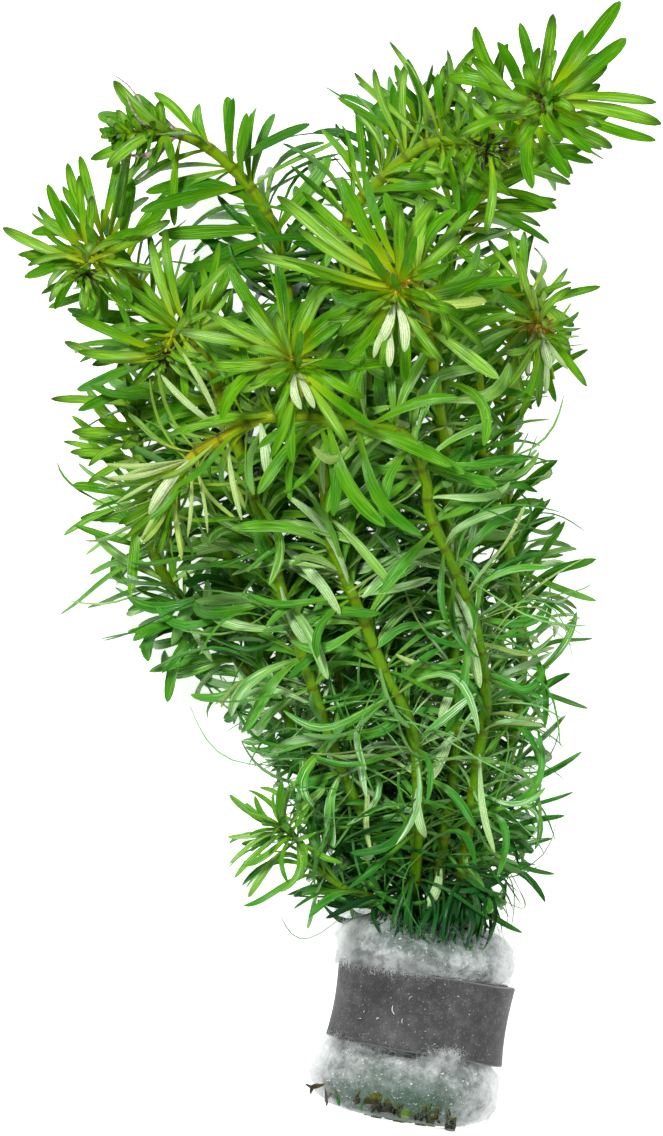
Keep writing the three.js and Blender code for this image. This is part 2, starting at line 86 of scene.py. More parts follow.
# The stems by name: where each is held in the holder, its route from there to the apex, and the places seen
# from above where its leaves' tips lie
STEMS = {
    "right": {
        "ring": "outer", "degrees": 0,
        "route": [
            (28.6, -64.4, 17), (32.3, -49.6, 21), (36.7, -33.6, 24), (38.3, -16.4, 27), (35.7, 2.6, 29),
            (30.3, 21.6, 30), (29.3, 38.6, 29), (24.1, 56.6, 27), (23.5, 66, 27), (29.7, 75, 31),
            (36.7, 85.6, 38), (41.7, 92, 47), (42.7, 93.6, 53),
        ],
        "tips": [
            (37.5, 108.6), (33.1, 105), (27.9, 101.6), (28.7, 93.6), (50.3, 107.6), (57.5, 112.8),
            (58.7, 105.5), (52.9, 102.8), (64.7, 92.6), (65.7, 88.4), (64.7, 85.2), (56.3, 84.2),
            (45.5, 81.8), (41.1, 80.8), (52.3, 80.8), (46.9, 9.4), (53.1, 1.8), (53.1, -6.6),
            (49.3, -8.8), (52.7, -14.2), (48.1, -21.2), (47.1, -29.6), (50.5, -37), (48.7, -45.2),
            (47.1, -50), (44.7, -54.6), (40.5, -60),
        ],
    },
    "top_middle": {
        "ring": "inner", "degrees": 45,
        "route": [
            (17.5, -46.4, 25), (14.5, -26.4, 29), (9.7, 23.6, 34), (2.7, 61.6, 38), (3.7, 70.6, 39),
            (9.9, 77.8, 41), (18.5, 84.4, 43), (26.7, 85.2, 45), (31.5, 83.4, 49),
        ],
        "tips": [
            (1.1, 93.8), (2.1, 88.6), (4.5, 99), (8.5, 99.8), (11.5, 105.2), (15.1, 101), (12.3, 96.8),
            (18.5, 75), (23.1, 77), (36.3, 74.4), (30.5, 66.2),
        ],
    },
    "upper_rear": {
        "ring": "outer", "degrees": 270,
        "route": [
            (20.5, -56.4, 9), (18.7, -26.4, 11), (15.7, 13.6, 14), (12.7, 53.6, 17), (12.3, 73.6, 20),
            (15.7, 85.6, 23), (20.3, 91, 27), (23.5, 94, 32),
        ],
        "tips": [(29.1, 104.8), (26.5, 102.4), (20.3, 99), (15.9, 96.6), (34, 92)],
    },
    "top_left": {
        "ring": "inner", "degrees": 315,
        "route": [
            (7.5, -46.4, 22), (-0.3, -6.4, 28), (-6.3, 33.6, 32), (-9.9, 61.6, 33), (-13.7, 72.6, 34),
            (-19.3, 79.6, 35), (-26.3, 85.2, 36), (-33.3, 87.6, 37), (-38.3, 87.2, 38), (-43.9, 86.8, 40),
        ],
        "tips": [
            (-43.5, 97.4), (-35.7, 95.6), (-39.7, 94.8), (-46.9, 90.8), (-48.3, 81.8), (-44.9, 79.8),
            (-42.1, 76), (-42.9, 70.2), (-11.5, 91.4), (-16.9, 91), (-4.3, 88.8), (1.9, 86.2),
            (-22.9, 74.8), (-37.3, 75.4), (-17.5, 73), (-31.5, 68.6),
        ],
    },
    "left": {
        "ring": "inner", "degrees": 225,
        "route": [
            (1.7, -50.4, 17), (-10.3, -26.4, 20), (-20.3, 1.6, 23), (-27.3, 25.6, 26), (-34.7, 47.6, 29),
            (-41.3, 60, 33), (-45.9, 64.4, 38), (-48.7, 62, 44), (-48.9, 58.2, 48),
        ],
        "tips": [
            (-56.5, 76.4), (-50.3, 78.2), (-42.7, 84), (-65.7, 68), (-62.7, 62.6), (-61.3, 58),
            (-58.1, 54.8), (-56.9, 52.2), (-52.3, 50.8), (-46.9, 47.8), (-36.9, 67.8), (-32.1, 69.4),
            (-23.5, 62.4), (-25.9, 58.4), (-24.5, 52),
        ],
    },
    "middle_left": {
        "ring": "inner", "degrees": 135,
        "route": [
            (4.7, -46.4, 26), (-6.3, -16.4, 35), (-15.3, 13.6, 41), (-21.9, 33.6, 44), (-26.3, 44.6, 47),
            (-30.7, 47.2, 51), (-33.5, 41.4, 56),
        ],
        "tips": [
            (-53.1, 45), (-50.3, 43), (-47.7, 40.4), (-50.9, 49.6), (-35.9, 65.2), (-33.1, 67.6),
            (-19.5, 61.2),
        ],
    },
    "low_left": {
        "ring": "outer", "degrees": 225,
        "route": [
            (8.9, -56.8, 11), (2.7, -46.4, 10), (-5.7, -33.2, 10), (-12.5, -25.4, 11), (-20.7, -16.4, 12),
            (-26.9, -9.8, 13), (-32.5, -3.8, 14), (-36.3, 4, 15), (-38.3, 13.6, 16), (-39.3, 25.6, 18),
            (-38.7, 32.6, 21),
        ],
        "tips": [
            (-54.9, -9.4), (-54.3, 6.6), (-51.9, 8.6), (-47.9, 6.8), (-56.5, 34), (-52.5, 30.8),
            (-49.7, 26.8), (-54.3, 25.6), (-41.3, -8.6), (-41.1, -12.8), (-36.9, -21), (-31.7, -18.4),
            (-33.3, -27.2), (-27.7, -21.8), (-17.7, -32.4),
        ],
    },
    "front": {
        "ring": "outer", "degrees": 90,
        "route": [
            (22.1, -58, 24), (24.7, -38.4, 30), (24.5, -16.4, 36), (23.7, 1.6, 41), (23.1, 17.6, 47),
            (21.1, 33.6, 57), (18.7, 47.6, 66), (16.1, 57.8, 74), (13.4, 56.4, 79), (12.1, 50.6, 81),
            (11.5, 44.6, 81),
        ],
        "tips": [
            (-10.8, 73.2), (-5.8, 74.1), (-6.9, 67.2), (1.9, 77), (6.3, 78.2), (14.5, 69.2), (20.9, 70.6),
            (-17.5, 63.8), (-15.9, 61.8), (-11.3, 61), (-4.1, 59.2), (29.9, 57.6), (37.3, 57), (32.3, 39),
            (27.7, 35.2), (2.7, 44), (2.7, 40.6), (5.9, 40.4), (14.3, 36.6), (7.5, 35.6), (33, 37.4),
            (23.7, 24), (26.4, 27),
        ],
    },
    "centre": {
        "ring": "outer", "degrees": 135,
        "route": [
            (17.3, -50, 31), (16.1, -32.4, 36), (10.9, -21.4, 39), (6.5, -10.8, 42), (1.9, 0, 46),
            (-0.5, 5.8, 48), (-1.7, 19.2, 53), (-4.3, 27.6, 57), (-6.7, 36.6, 63), (-8.5, 42.2, 70),
            (-7.1, 39.6, 76), (-5.9, 33.6, 77),
        ],
        "tips": [
            (-1.5, 61), (-30.3, 46.8), (-18.3, 55.4), (3.1, 47.6), (2.5, 45.8), (1.7, 38), (6.3, 33.4),
            (-14.9, 31), (1.3, 29.8), (4.7, 14.3), (-2.5, 13.4), (-0.7, 22.4), (3.5, 23.8), (-12.1, 21.6),
            (-7.7, 20.6), (8.3, 27.6), (-24.7, 50.6), (-20.3, 60),
        ],
    },
    "arching": {
        "ring": "outer", "degrees": 45,
        "route": [
            (27.9, -49.4, 29), (29.4, -38, 33), (30.9, -27, 36), (29.9, -17.4, 40), (27.7, -8.2, 44),
            (22.9, 3.2, 51), (19.5, 11, 55), (18.7, 17.2, 58), (15.7, 25, 62), (10.7, 27.8, 65),
            (2.5, 28.4, 67), (-6.5, 29.8, 67), (-14.9, 29.4, 66), (-21.3, 26, 64), (-27.5, 22, 61),
            (-33.3, 11.6, 56),
        ],
        "tips": [
            (-43.7, 20.8), (-45.9, 18.2), (-45.1, 15.8), (-41.7, 13.4), (-43.5, 10.6), (-40.9, 8.4),
            (-37.7, 4.8), (-33.9, 3.2), (-29.5, 2.8), (-27.5, 2.2), (-24.3, 4.2), (-36.1, 37.6),
            (-34.3, 39.4), (-17.7, 9.8), (-12.5, 18.4), (29.1, 12.6),
        ],
    },
    "upper_right": {
        "ring": "outer", "degrees": 315,
        "route": [
            (29.7, -46.4, 12), (33.7, -16.4, 15), (35.3, 13.6, 19), (36.1, 33.6, 25), (37.7, 49.6, 32),
            (39.5, 55.2, 38), (40.7, 50.6, 44), (42.7, 43.6, 46), (44.3, 37.6, 46),
        ],
        "tips": [
            (54.1, 56.6), (51.7, 44), (50.9, 36.2), (44.9, 33.2), (41.3, 32), (37.5, 29.6), (32.5, 33.2),
            (45.5, 21.6), (44.3, 14), (38.7, 67.6), (46.1, -0.4), (51.9, -28.4), (41.9, -43.6),
            (45.1, -61.8), (43.3, -67.8), (38.5, -73.6), (39.3, 21.9),
        ],
    },
    "side_shoot": {
        "ring": "outer", "degrees": 180,
        "route": [
            (11.6, -67.4, 21), (7.6, -66, 24), (2.3, -64.2, 27), (-4.3, -58.8, 28), (-6.9, -54.8, 30),
            (-9.9, -52.2, 33),
        ],
        "tips": [
            (-20.5, -45.4), (-17.3, -47.4), (-20.9, -54), (-9.9, -42.6), (-7.1, -42.4), (-1.3, -44),
            (-20.5, -59.4), (-19.5, -62.2), (-16.7, -66.2), (-7.5, -68.4), (-4.9, -72.6),
        ],
    },
}

PLAIN_LOOK = {
    "warmth": 0.2,  # how far light has yellowed the leaves
    "bright": 0.0,  # how much paler they are
    "older": 0.0,  # how much older the lower leaves look than their distance from the apex
    "aged": 0.0,  # how much older the crown's leaves look
    "width": 1.0,  # scales the width of the crown's leaves
    "lower_width": 1.0,  # scales the width of the leaves below the crown
    "facing": 0.7,  # how far the upper faces turn to the light
    "upper_leaves": 10,  # leaves in a whorl right below the crown
    "lower_leaves": 13,  # leaves in a whorl at the lower end
    "tip_leaf": 18.5,  # the usual length of the leaves that end at the stem's tips
    "beyond": 0,  # how far leaves reach past OUTLINE
    "whorls": 6,  # whorls in the crown
    "leaves": 8,  # leaves in the crown's outermost whorl
    "young": 12,  # the lean of the crown's innermost leaves, in degrees
    "open": 76,  # the lean of its outermost leaves
    "length": 20,  # the length of its outermost leaves
    "smallest": 0.22,  # the share of that length that its innermost leaves have
    "reach": 11.6,  # how far back its whorls go
    "nod": 0,  # how far it hangs over
    "bud": 1.8,  # the length of the bud's scales
    "gold": 0.05,  # the bud's colour, from dark brown to amber
    "stalk": 1.0,  # scales the stalk's radius
    "stalk_aged": 0.1,  # how much older the stalk looks
}
# Where a stem looks different
LOOKS = {
    "right": {
        "warmth": 0.4, "older": -0.3, "length": 21, "width": 1.1, "whorls": 5, "bud": 2.8, "lower_leaves": 7,
        "bright": 0.02,
    },
    "top_middle": {
        "warmth": 0.3, "width": 0.82, "facing": 1.4, "length": 14, "open": 84, "bud": 4.4, "gold": 0.0,
    },
    "upper_rear": {"warmth": 0.3, "older": 0.2, "width": 0.9, "facing": 1.2, "length": 16, "whorls": 4},
    "top_left": {
        "width": 1.1, "facing": 1.4, "length": 10, "young": 10, "open": 62, "bud": 1.6, "whorls": 7,
        "upper_leaves": 4, "lower_width": 1.15,
    },
    "left": {
        "warmth": 0.85, "width": 0.84, "length": 18, "leaves": 9, "bud": 3.0, "gold": 0.0, "open": 84,
        "bright": 0.14, "lower_width": 1.15,
    },
    "middle_left": {
        "warmth": 0.8, "width": 0.84, "length": 16, "facing": 0.9, "bud": 3.0, "gold": 0.02,
        "upper_leaves": 11, "bright": 0.14, "lower_width": 1.15,
    },
    "low_left": {
        "older": 0.15, "width": 0.9, "facing": 1.0, "upper_leaves": 8, "stalk_aged": 0.7, "leaves": 9,
        "bright": 0.34, "lower_width": 1.25,
    },
    "front": {
        "warmth": 1.0, "width": 1.08, "bud": 3.2, "gold": 1.0, "nod": 11.4, "open": 82, "whorls": 5,
    },
    "centre": {
        "warmth": 0.7, "width": 0.92, "bud": 2.2, "gold": 0.9, "nod": 8.6, "open": 84, "whorls": 5,
        "length": 18, "upper_leaves": 11,
    },
    "arching": {
        "warmth": 1.0, "width": 0.6, "facing": 0.5, "length": 22, "young": 5, "open": 41, "leaves": 11,
        "whorls": 7, "upper_leaves": 7, "lower_leaves": 11,
    },
    "upper_right": {
        "warmth": 0.4, "older": -0.15, "width": 0.84, "length": 14, "bud": 3.6, "gold": 0.9, "nod": 11.0,
        "open": 80, "whorls": 4, "lower_leaves": 7, "bright": 0.16,
    },
    "side_shoot": {
        "warmth": 0.0, "older": 0.5, "width": 0.8, "length": 13, "whorls": 4, "leaves": 9, "bud": 0.9,
        "open": 88, "upper_leaves": 9, "aged": 0.3, "stalk": 0.62, "stalk_aged": 0.4, "beyond": 16,
        "reach": 5.0, "smallest": 0.6, "tip_leaf": 12, "bright": -0.12,
    },
}

# Single leaves that show their pale undersides: where each grows from the stalk, where it ends, and its
# width, all seen from above
PALE_LEAVES = {
    "front": [
        ((12.3, 53.0), (9.3, 44.2), 2.0), ((13.1, 53.0), (14.3, 42.4), 2.0),
        ((11.7, 49.0), (8.3, 41.2), 1.3), ((11.7, 47.0), (11.3, 39.4), 1.6),
        ((21.3, -31.8), (19.1, -43.2), 2.2), ((22.7, -58.8), (18.7, -68.6), 2.0),
        ((18.3, -6.0), (29.7, -24.0), 2.2), ((24.5, -20.0), (21.5, -30.0), 1.8),
    ],
    "centre": [
        ((-7.3, 39.8), (-5.9, 31.2), 1.7), ((-7.1, 39.8), (-3.3, 31.4), 1.5),
        ((-7.5, 39.8), (-8.1, 32.6), 1.1), ((18.1, -43.0), (18.9, -54.0), 1.9),
        ((4.0, -6.0), (-8.9, 14.4), 1.7),
    ],
    "upper_right": [
        ((40.1, 48.2), (39.3, 38.4), 1.5), ((41.1, 48.2), (43.5, 39.6), 1.9),
        ((41.5, 47.4), (47.1, 39.6), 1.1), ((42.7, 43.6), (42.7, 34.8), 1.2),
    ],
    "arching": [
        ((-27.5, 22.0), (-36.1, 10.6), 2.1), ((-14.1, 29.4), (-12.7, 18.2), 2.2),
        ((-20.7, 26.4), (-17.7, 9.4), 1.1), ((-21.3, 26.6), (-29.5, 42.6), 1.1),
        ((-20.9, 26.8), (-33.7, 38.2), 1.3), ((-27.9, 21.8), (-44.7, 20.6), 1.0),
        ((-27.9, 21.6), (-45.3, 17.8), 1.1), ((-28.5, 21.0), (-44.7, 15.8), 0.9),
        ((-29.0, 20.4), (-42.7, 12.8), 0.8), ((-30.0, 18.6), (-37.9, 5.2), 0.8),
        ((-27.9, 21.6), (-28.5, 6.0), 0.8), ((-27.0, 22.0), (-24.5, 6.8), 0.7),
        ((29.5, -36.0), (32.7, -57.0), 1.4), ((29.9, -17.4), (22.7, 1.0), 1.6),
    ],
    "middle_left": [
        ((-17.7, 6.8), (1.9, -9.6), 2.1), ((-7.9, 3.6), (-0.9, -4.2), 2.2),
        ((-14.0, -4.0), (-3.0, -17.0), 1.6),
    ],
    "low_left": [((-20.7, -16.4), (-4.5, -34.0), 1.7), ((-32.5, -3.8), (-24.0, -19.0), 1.5)],
}

# Single leaves that show their upper faces where they lie over a stalk, in the same order
BROAD_LEAVES = {
    "arching": [
        ((-0.3, 31.6), (10.7, 8.2), 2.9), ((3.1, 29.6), (23.7, 20.0), 2.9),
        ((12.7, 29.6), (26.3, 18.6), 2.7), ((-2.3, 31.0), (0.3, 10.2), 2.2),
        ((7.5, 30.2), (25.1, 33.6), 2.2), ((-3.3, 30.4), (-14.5, 14.6), 2.4),
        ((4.9, 28.6), (17.9, 6.4), 2.6), ((0.7, 28.6), (6.1, 45.0), 2.2),
        ((17.7, 20.4), (32.9, 16.4), 2.6), ((20.9, 8.0), (9.9, -5.0), 2.4),
    ],
    "middle_left": [((-24.3, 40.0), (-9.5, 53.6), 2.6), ((-21.9, 33.6), (-36.5, 27.2), 2.4)],
    "top_left": [
        ((-12.1, 68.0), (-34.7, 66.8), 2.9), ((-17.1, 76.2), (-38.3, 71.4), 2.7),
        ((-11.1, 66.4), (-27.3, 56.0), 2.6), ((-9.9, 61.6), (-29.9, 59.8), 2.6),
    ],
}

# Dried leaves and fine hairs on a crown: where each grows from the stalk, where it ends, and its width
DRIED = {
    "top_left": [
        ((-29.5, 87.2), (-39.5, 89.2), 2.2), ((-32.5, 87.0), (-41.0, 82.5), 1.3),
        ((-30.0, 86.8), (-35.5, 80.5), 1.1), ((-36.0, 88.0), (-44.5, 99.0), 0.42),
        ((-36.0, 88.0), (-41.0, 94.5), 0.4), ((-36.0, 87.0), (-43.5, 76.0), 0.42),
        ((-35.0, 87.0), (-39.0, 77.5), 0.36), ((-33.0, 87.6), (-34.5, 93.5), 0.5),
    ],
}

# Old leaves that hang down over the wad, made dark with painted shade: the stems that have them and how many
# each, how far up a stem they grow, how far they spread, where they end along the holder, and how high over
# the wad
DRAPED = {
    "stems": ("right", "arching", "front", "centre", "side_shoot"), "leaves": 15, "from": (36, 52),
    "outward": 1.2, "aside": 3.2, "farthest": 0.75, "along": (14.2, 18.4), "lift": 0.5, "width": 0.75,
    "loose": 0.5, "shade": (-0.6, -0.1), "bow": (0.1, 0.25), "facing": 0.3,
}

# Between a stem and its crown
GAP_AT_SPLIT = 0.02
STALK = {
    "radius": 1.14, "sides": 12, "ring_spacing": 0.7, "swelling": 0.09, "swelling_reach": 0.7, "rib": 0.03,
    "ribs": 7, "tip_radius": 0.4, "taper": 14, "stripes": 0.02, "most_age": 1.4,
}
# The distance from the apex at which leaves look oldest. An age of 1 stands for it.
OLDEST = 150
# A crown is the last stretch of a stem. round_the_nod is where the whorls of a crown that hangs over sit.
CROWN = {
    "length": 13, "lowest_whorl": 12.4, "crowding": 1.4, "opening": 0.8, "upturned": 0.5, "least_leaves": 5,
    "round_the_nod": (-2.6, 0.8),
}
# The whorls below it: where the lowest may sit on the stem, the leaves' lean in degrees and their length when
# young and when old, and the distances from the apex between which they turn from the crown's look to the
# plain one, and from upper_leaves to lower_leaves.
WHORL = {
    "lowest": 44, "below_crown": 1.5, "spacing": 5.9, "jitter": 0.9, "facing": 0.9, "lean": (58, 84),
    "longer": (1.06, 1), "ages": (0.04, 1), "like_crown": (45, 15), "filling": (20, 75),
}
LEAF = {
    "width": 2.5, "length": 18.5, "longest": 31, "most_rise": 7, "thickness": 0.3, "thickness_share": 0.3,
    "short_width": 0.3, "old_width": 0.46,
}
# How a leaf's form varies: its width and what age adds to the widest, its fold when young and when old, the
# range of its bow and hook and of what age adds; its usual sway, turn and twist, what age adds, and the most
WIDTHS = {"range": (0.72, 1.18), "older": 0.25}
FOLD = {"range": (0.3, 1.5), "by_age": (0.4, 0.6)}
BENDS = {"bow": ((0.04, 0.16), (-0.14, 0.3)), "hook": ((0, 0.1), (-0.1, 0.2))}
SWINGS = {"sway": (0.04, 0.27, 0.32), "turn": (0.15, 0.3, math.inf), "twist": (0.25, 0.8, math.inf)}
# How much narrower the range of the leaves' shades is deep inside the bunch, how much darker as painted
# shade, and the most
SHADE = {"narrowed": 0.4, "painted_darkening": 0.34, "most": 0.96}
FACING_SPREAD = (0.4, 1.7)
# The share of leaves that show their undersides from above, when young and when old
UNDERSIDES = (0.05, 0.2)
# How a whorl's leaves vary: their angles in degrees, their lengths, and how far they sag and go aside
GROWTH = {
    "around": 8, "lean": 6, "lean_by_age": 20, "length": (0.8, 1.1), "length_by_age": 0.2, "sag": 0.1,
    "sag_spread": (0, 1.6), "aside": (0.5, 0.5, 0.1), "flop": 0.55, "crowded": 0.92,
}
# Old leaves that have dwindled to threads
THREAD = {"share": 0.3, "width": 0.3, "length": 1.35, "beyond": 4}
# Leaves that end at the stem's tips: how many rise, their lowest height, how far they lean along the stalk,
# and what a place beside another leaf costs
TO_TIP = {
    "rising": 0.6, "lowest": 0.6, "along_stalk": (-0.5, 0.93), "crowded": 0.9, "crowding_cost": 4,
    "facing_spread": (0.5, 1.5), "loose": 0.45,
}
# The single leaves that are listed one by one: how far they rise, and how they vary
SHOWN = {
    "slope": 0.16, "rise": 1.5, "pale_shade": (0.987, 1), "pale_width": (0.8, 1.8), "shade": (-0.04, 0.42),
    "bow": (0.04, 0.14), "sway": 0.06, "fold": (0.2, 0.5), "youngest": 0.02,
}
# A bud's scales and its hairs: how many, how long for the bud, how wide, and their outermost lean in degrees
BUD = {"scales": (30, 0.9, 0.8, 85), "hairs": (46, 1.1, 0.14, 95)}
BUD_FORM = {
    "back": 0.6, "upturned": 0.8, "innermost": 5, "turn": 137.5, "around": 10, "lean": 6, "raised": 0.5,
    "length": (0.7, 1.15), "spread": (0.8, 1.2), "width": (0.7, 1.1), "sway": 0.05, "twist": 0.3,
}
# What the bud's material makes of each
BUD_KINDS = {"scales": 0.0, "hairs": 1.0, "dried": 2.0}
DRIED_FORM = {"rise": (2, 6), "bow": (0, 0.2), "hook": (-0.1, 0.2), "sway": 0.14, "turn": 0.3, "twist": 0.8}
# How far along the holder from its middle leaves end: at the wad's own height, and where they lie over it
LOWEST_TIP = {"at_wad": 18.6, "over_wad": 15.4, "wad_height": 31}
LOWEST_LEAF = 0.8
BOX_MARGIN = 0.6
# The bunch's outline from above: a distance along +Y, and how far leaves reach to the left and right there
OUTLINE = np.array([
    (-78, -2, 30), (-66, -4, 36), (-56, -6, 42), (-44, -10, 43), (-32, -21, 43), (-20, -36, 45),
    (-8, -52, 50), (4, -50, 50), (16, -53, 43), (30, -53, 42), (44, -53, 50), (58, -60, 50), (68, -64, 42),
    (78, -56, 50), (88, -47, 62), (93, -44, 63), (97, 2, 60), (106, 10, 58), (112, 40, 58),
])
# How high the uppermost stalks lie: at a distance along +Y, and the height there
CANOPY = np.array([(-66, 26), (-40, 35), (-20, 42), (0, 48), (20, 57), (40, 62), (60, 56), (80, 48)])
# What makes a place lie deep in the bunch, where leaves get painted shade: how far it is below the uppermost
# stalks, or how far down towards the wad, and how far inside the outline for each
DEPTH = {
    "below": (2, 26), "inside": (10, 26), "low": (-40, -58), "lowest": (-56, -64), "lowest_adds": 0.5,
    "inside_low": (7, 17),
}
# Leaves that point up more than this, as the height of a unit step, and how many of them hang down instead
UPRIGHT = {"rise": 0.5, "turned": 0.65}
# How much of its length a leaf keeps so that it ends inside the outline
SHORTENED = (1, 0.88, 0.76, 0.64)

rng = np.random.default_rng(11)


def unit(rows):
    return rows / np.maximum(np.linalg.norm(rows, axis=-1, keepdims=True), 1e-9)


def smooth(values, low, high):
    """0 below low, 1 above high, and an even curve between them."""
    share = np.clip((np.asarray(values, float) - low) / (high - low), 0, 1)
    return share * share * (3 - 2 * share)


def between(low, high, share):
    return low + (high - low) * share


def stacked(*parts):
    """Numbers or arrays of them made into rows of vectors."""
    return np.stack(np.broadcast_arrays(*parts), -1)


def turn_of(count):
    """The angles of evenly spaced corners round a full turn."""
    return np.linspace(0, 2 * math.pi, count, endpoint=False)


def round_section(path, first, second, radius, angles):
    """The corners of a tube along a path. first and second are square to it, and its radius may vary."""
    out = first[..., None, :] * np.cos(angles)[:, None] + second[..., None, :] * np.sin(angles)[:, None]
    return path[..., None, :] + out * radius[..., None]


UP = np.array([0.0, 0.0, 1.0])
ALONG = np.array([math.sin(HOLDER["lean"]), math.cos(HOLDER["lean"]), 0.0])
ACROSS = np.array([math.cos(HOLDER["lean"]), -math.sin(HOLDER["lean"]), 0.0])
HOLDER_CENTRE = np.array([HOLDER["x"], HOLDER["y"], HOLDER["z"]])
BOX_LOW = np.array(cad_box[0]) / MM
BOX_HIGH = np.array(cad_box[1]) / MM


def holder_point(across, along, up):
    """Points of the holder's own frame: across it, along its axis towards the tips, and up."""
    parts = [np.asarray(part, float)[..., None] for part in (across, along, up)]
    return HOLDER_CENTRE + parts[0] * ACROSS + parts[1] * ALONG + parts[2] * HOLDER["flatness"] * UP


class Centreline:
    """A smooth line through some points, read by the distance from its start."""

    PER_SPAN = 24

    def __init__(self, points):
        padded = np.vstack([2 * points[0] - points[1], points, 2 * points[-1] - points[-2]])
        knots = np.linalg.norm(np.diff(padded, axis=0), axis=1) ** 0.5
        spans = [self.span(padded[i - 1 : i + 3], knots[i - 1 : i + 2]) for i in range(1, len(padded) - 2)]
        self.points = np.vstack([*spans, points[-1:]])
        steps = np.linalg.norm(np.diff(self.points, axis=0), axis=1)
        self.distance = np.concatenate([[0], np.cumsum(steps)])
        self.length = self.distance[-1]
        self.tangents = unit(np.gradient(self.points, self.distance, axis=0))
        self.normals = self.carried()

    def span(self, four, gaps):
        before, start, end, after = four
        first, middle, last = gaps
        leave = (start - before) / first - (end - before) / (first + middle) + (end - start) / middle
        arrive = (end - start) / middle - (after - start) / (middle + last) + (after - end) / last
        t = np.linspace(0, 1, self.PER_SPAN, endpoint=False)[:, None]
        return (
            (2 * t**3 - 3 * t**2 + 1) * start
            + (t**3 - 2 * t**2 + t) * leave * middle
            + (3 * t**2 - 2 * t**3) * end
            + (t**3 - t**2) * arrive * middle
        )

    def carried(self):
        """A direction square to the line, carried along it without turning round it."""
        normals = [unit(np.cross(self.tangents[0], ACROSS))]
        for tangent in self.tangents[1:]:
            last = normals[-1]
            normals.append(unit(last - tangent * (last @ tangent)))
        return np.array(normals)

    def at(self, stations):
        """The points, directions and normals at some distances from the start."""
        rows = (self.points, self.tangents, self.normals)
        read = [np.stack([np.interp(stations, self.distance, each) for each in row.T], -1) for row in rows]
        return read[0], unit(read[1]), unit(read[2])

    def nearest(self, x, y):
        """The distance along the line of the place that lies closest to a spot seen from above."""
        gaps = np.hypot(self.points[:, 0] - x, self.points[:, 1] - y)
        return self.distance[np.argmin(gaps)]


class Tubes:
    """Closed tubes gathered into one mesh. Its points keep two vectors for the materials, place and kind."""

    SHARP = math.radians(60)

    def __init__(self):
        self.corners, self.faces, self.slots, self.places, self.kinds = [], [], [], [], []
        self.count = 0

    def add(self, corners, slot, place, kind):
        """corners holds (tubes, rings, corners of a ring, 3), anticlockwise round the tube's direction."""
        index = self.count + np.arange(corners[..., 0].size).reshape(corners.shape[:-1])
        here, there = index[:, :-1], index[:, 1:]
        quads = np.stack([here, np.roll(here, -1, 2), np.roll(there, -1, 2), there], -1).reshape(-1, 4)
        ends = np.concatenate([index[:, 0, ::-1], index[:, -1]])
        self.faces += quads.tolist() + ends.tolist()
        self.slots += [slot] * (len(quads) + len(ends))
        self.corners.append(corners.reshape(-1, 3))
        self.places.append(np.broadcast_to(place, corners.shape).reshape(-1, 3))
        self.kinds.append(np.broadcast_to(kind, corners.shape).reshape(-1, 3))
        self.count += corners[..., 0].size

    def piece(self, name, materials, slot, node=None):
        """Makes the mesh. slot, its style, is not used, and node is what it replaces of the CAD model, if
        anything.
        """
        mesh = bpy.data.meshes.new(name)
        points = np.vstack(self.corners)
        points[:, 2] = np.maximum(points[:, 2], 0)
        mesh.from_pydata((points * MM).tolist(), [], self.faces)
        for key, rows in (("place", self.places), ("kind", self.kinds)):
            values = np.vstack(rows).astype(np.float32).ravel()
            mesh.attributes.new(key, "FLOAT_VECTOR", "POINT").data.foreach_set("vector", values)
        for material in materials:
            mesh.materials.append(material)
        mesh.polygons.foreach_set("material_index", self.slots)
        mesh.polygons.foreach_set("use_smooth", [True] * len(self.faces))
        mesh.set_sharp_from_angle(angle=self.SHARP)
        mesh.update()
        made = bpy.data.objects.new(name, mesh)
        bpy.context.scene.collection.objects.link(made)
        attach(made, "root")
        if node:
            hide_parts(node)


# A leaf's cross-section, over the top from edge to edge and back underneath
SECTION = {
    "across": np.array([-1, -0.5, 0, 0.5, 1, 0.5, 0, -0.5]),
    "upper": np.array([0.5, 1, 1, 1, 0.5, 0, 0, 0]),
    "height": np.array([0, 0.4, 0.25, 0.4, 0, -0.36, -0.8, -0.36]),
}
# Its outline: how wide its base is, the shares of its length between which it widens and where its tip rounds
# off, and how much thinner its tip is. sway_grows is how much it sways near its base and near its tip.
BLADE = {"base": 0.24, "widest": (-0.05, 0.62), "rounded": 0.72, "thinned": 0.5, "sway_grows": (0.6, 1.4)}
FOLD_CURVE = 1.4


def stations(count, last=0.996, crowding=1.4):
    """Places along a leaf, as shares of its length, closer together towards the blunt tip."""
    return last * (1 - (1 - np.linspace(0, 1, count)) ** crowding)


LEAF_STATIONS, SCALE_STATIONS = stations(10), stations(6)


def blade_width(share):
    """How wide a leaf is along its length: narrow at the base, widest past the middle, blunt at the tip."""
    blunt = BLADE["rounded"]
    tip = np.sqrt(1 - np.clip((share - blunt) / (1 - blunt), 0, 1) ** 2)
    return between(BLADE["base"], 1, smooth(share, *BLADE["widest"])) * tip


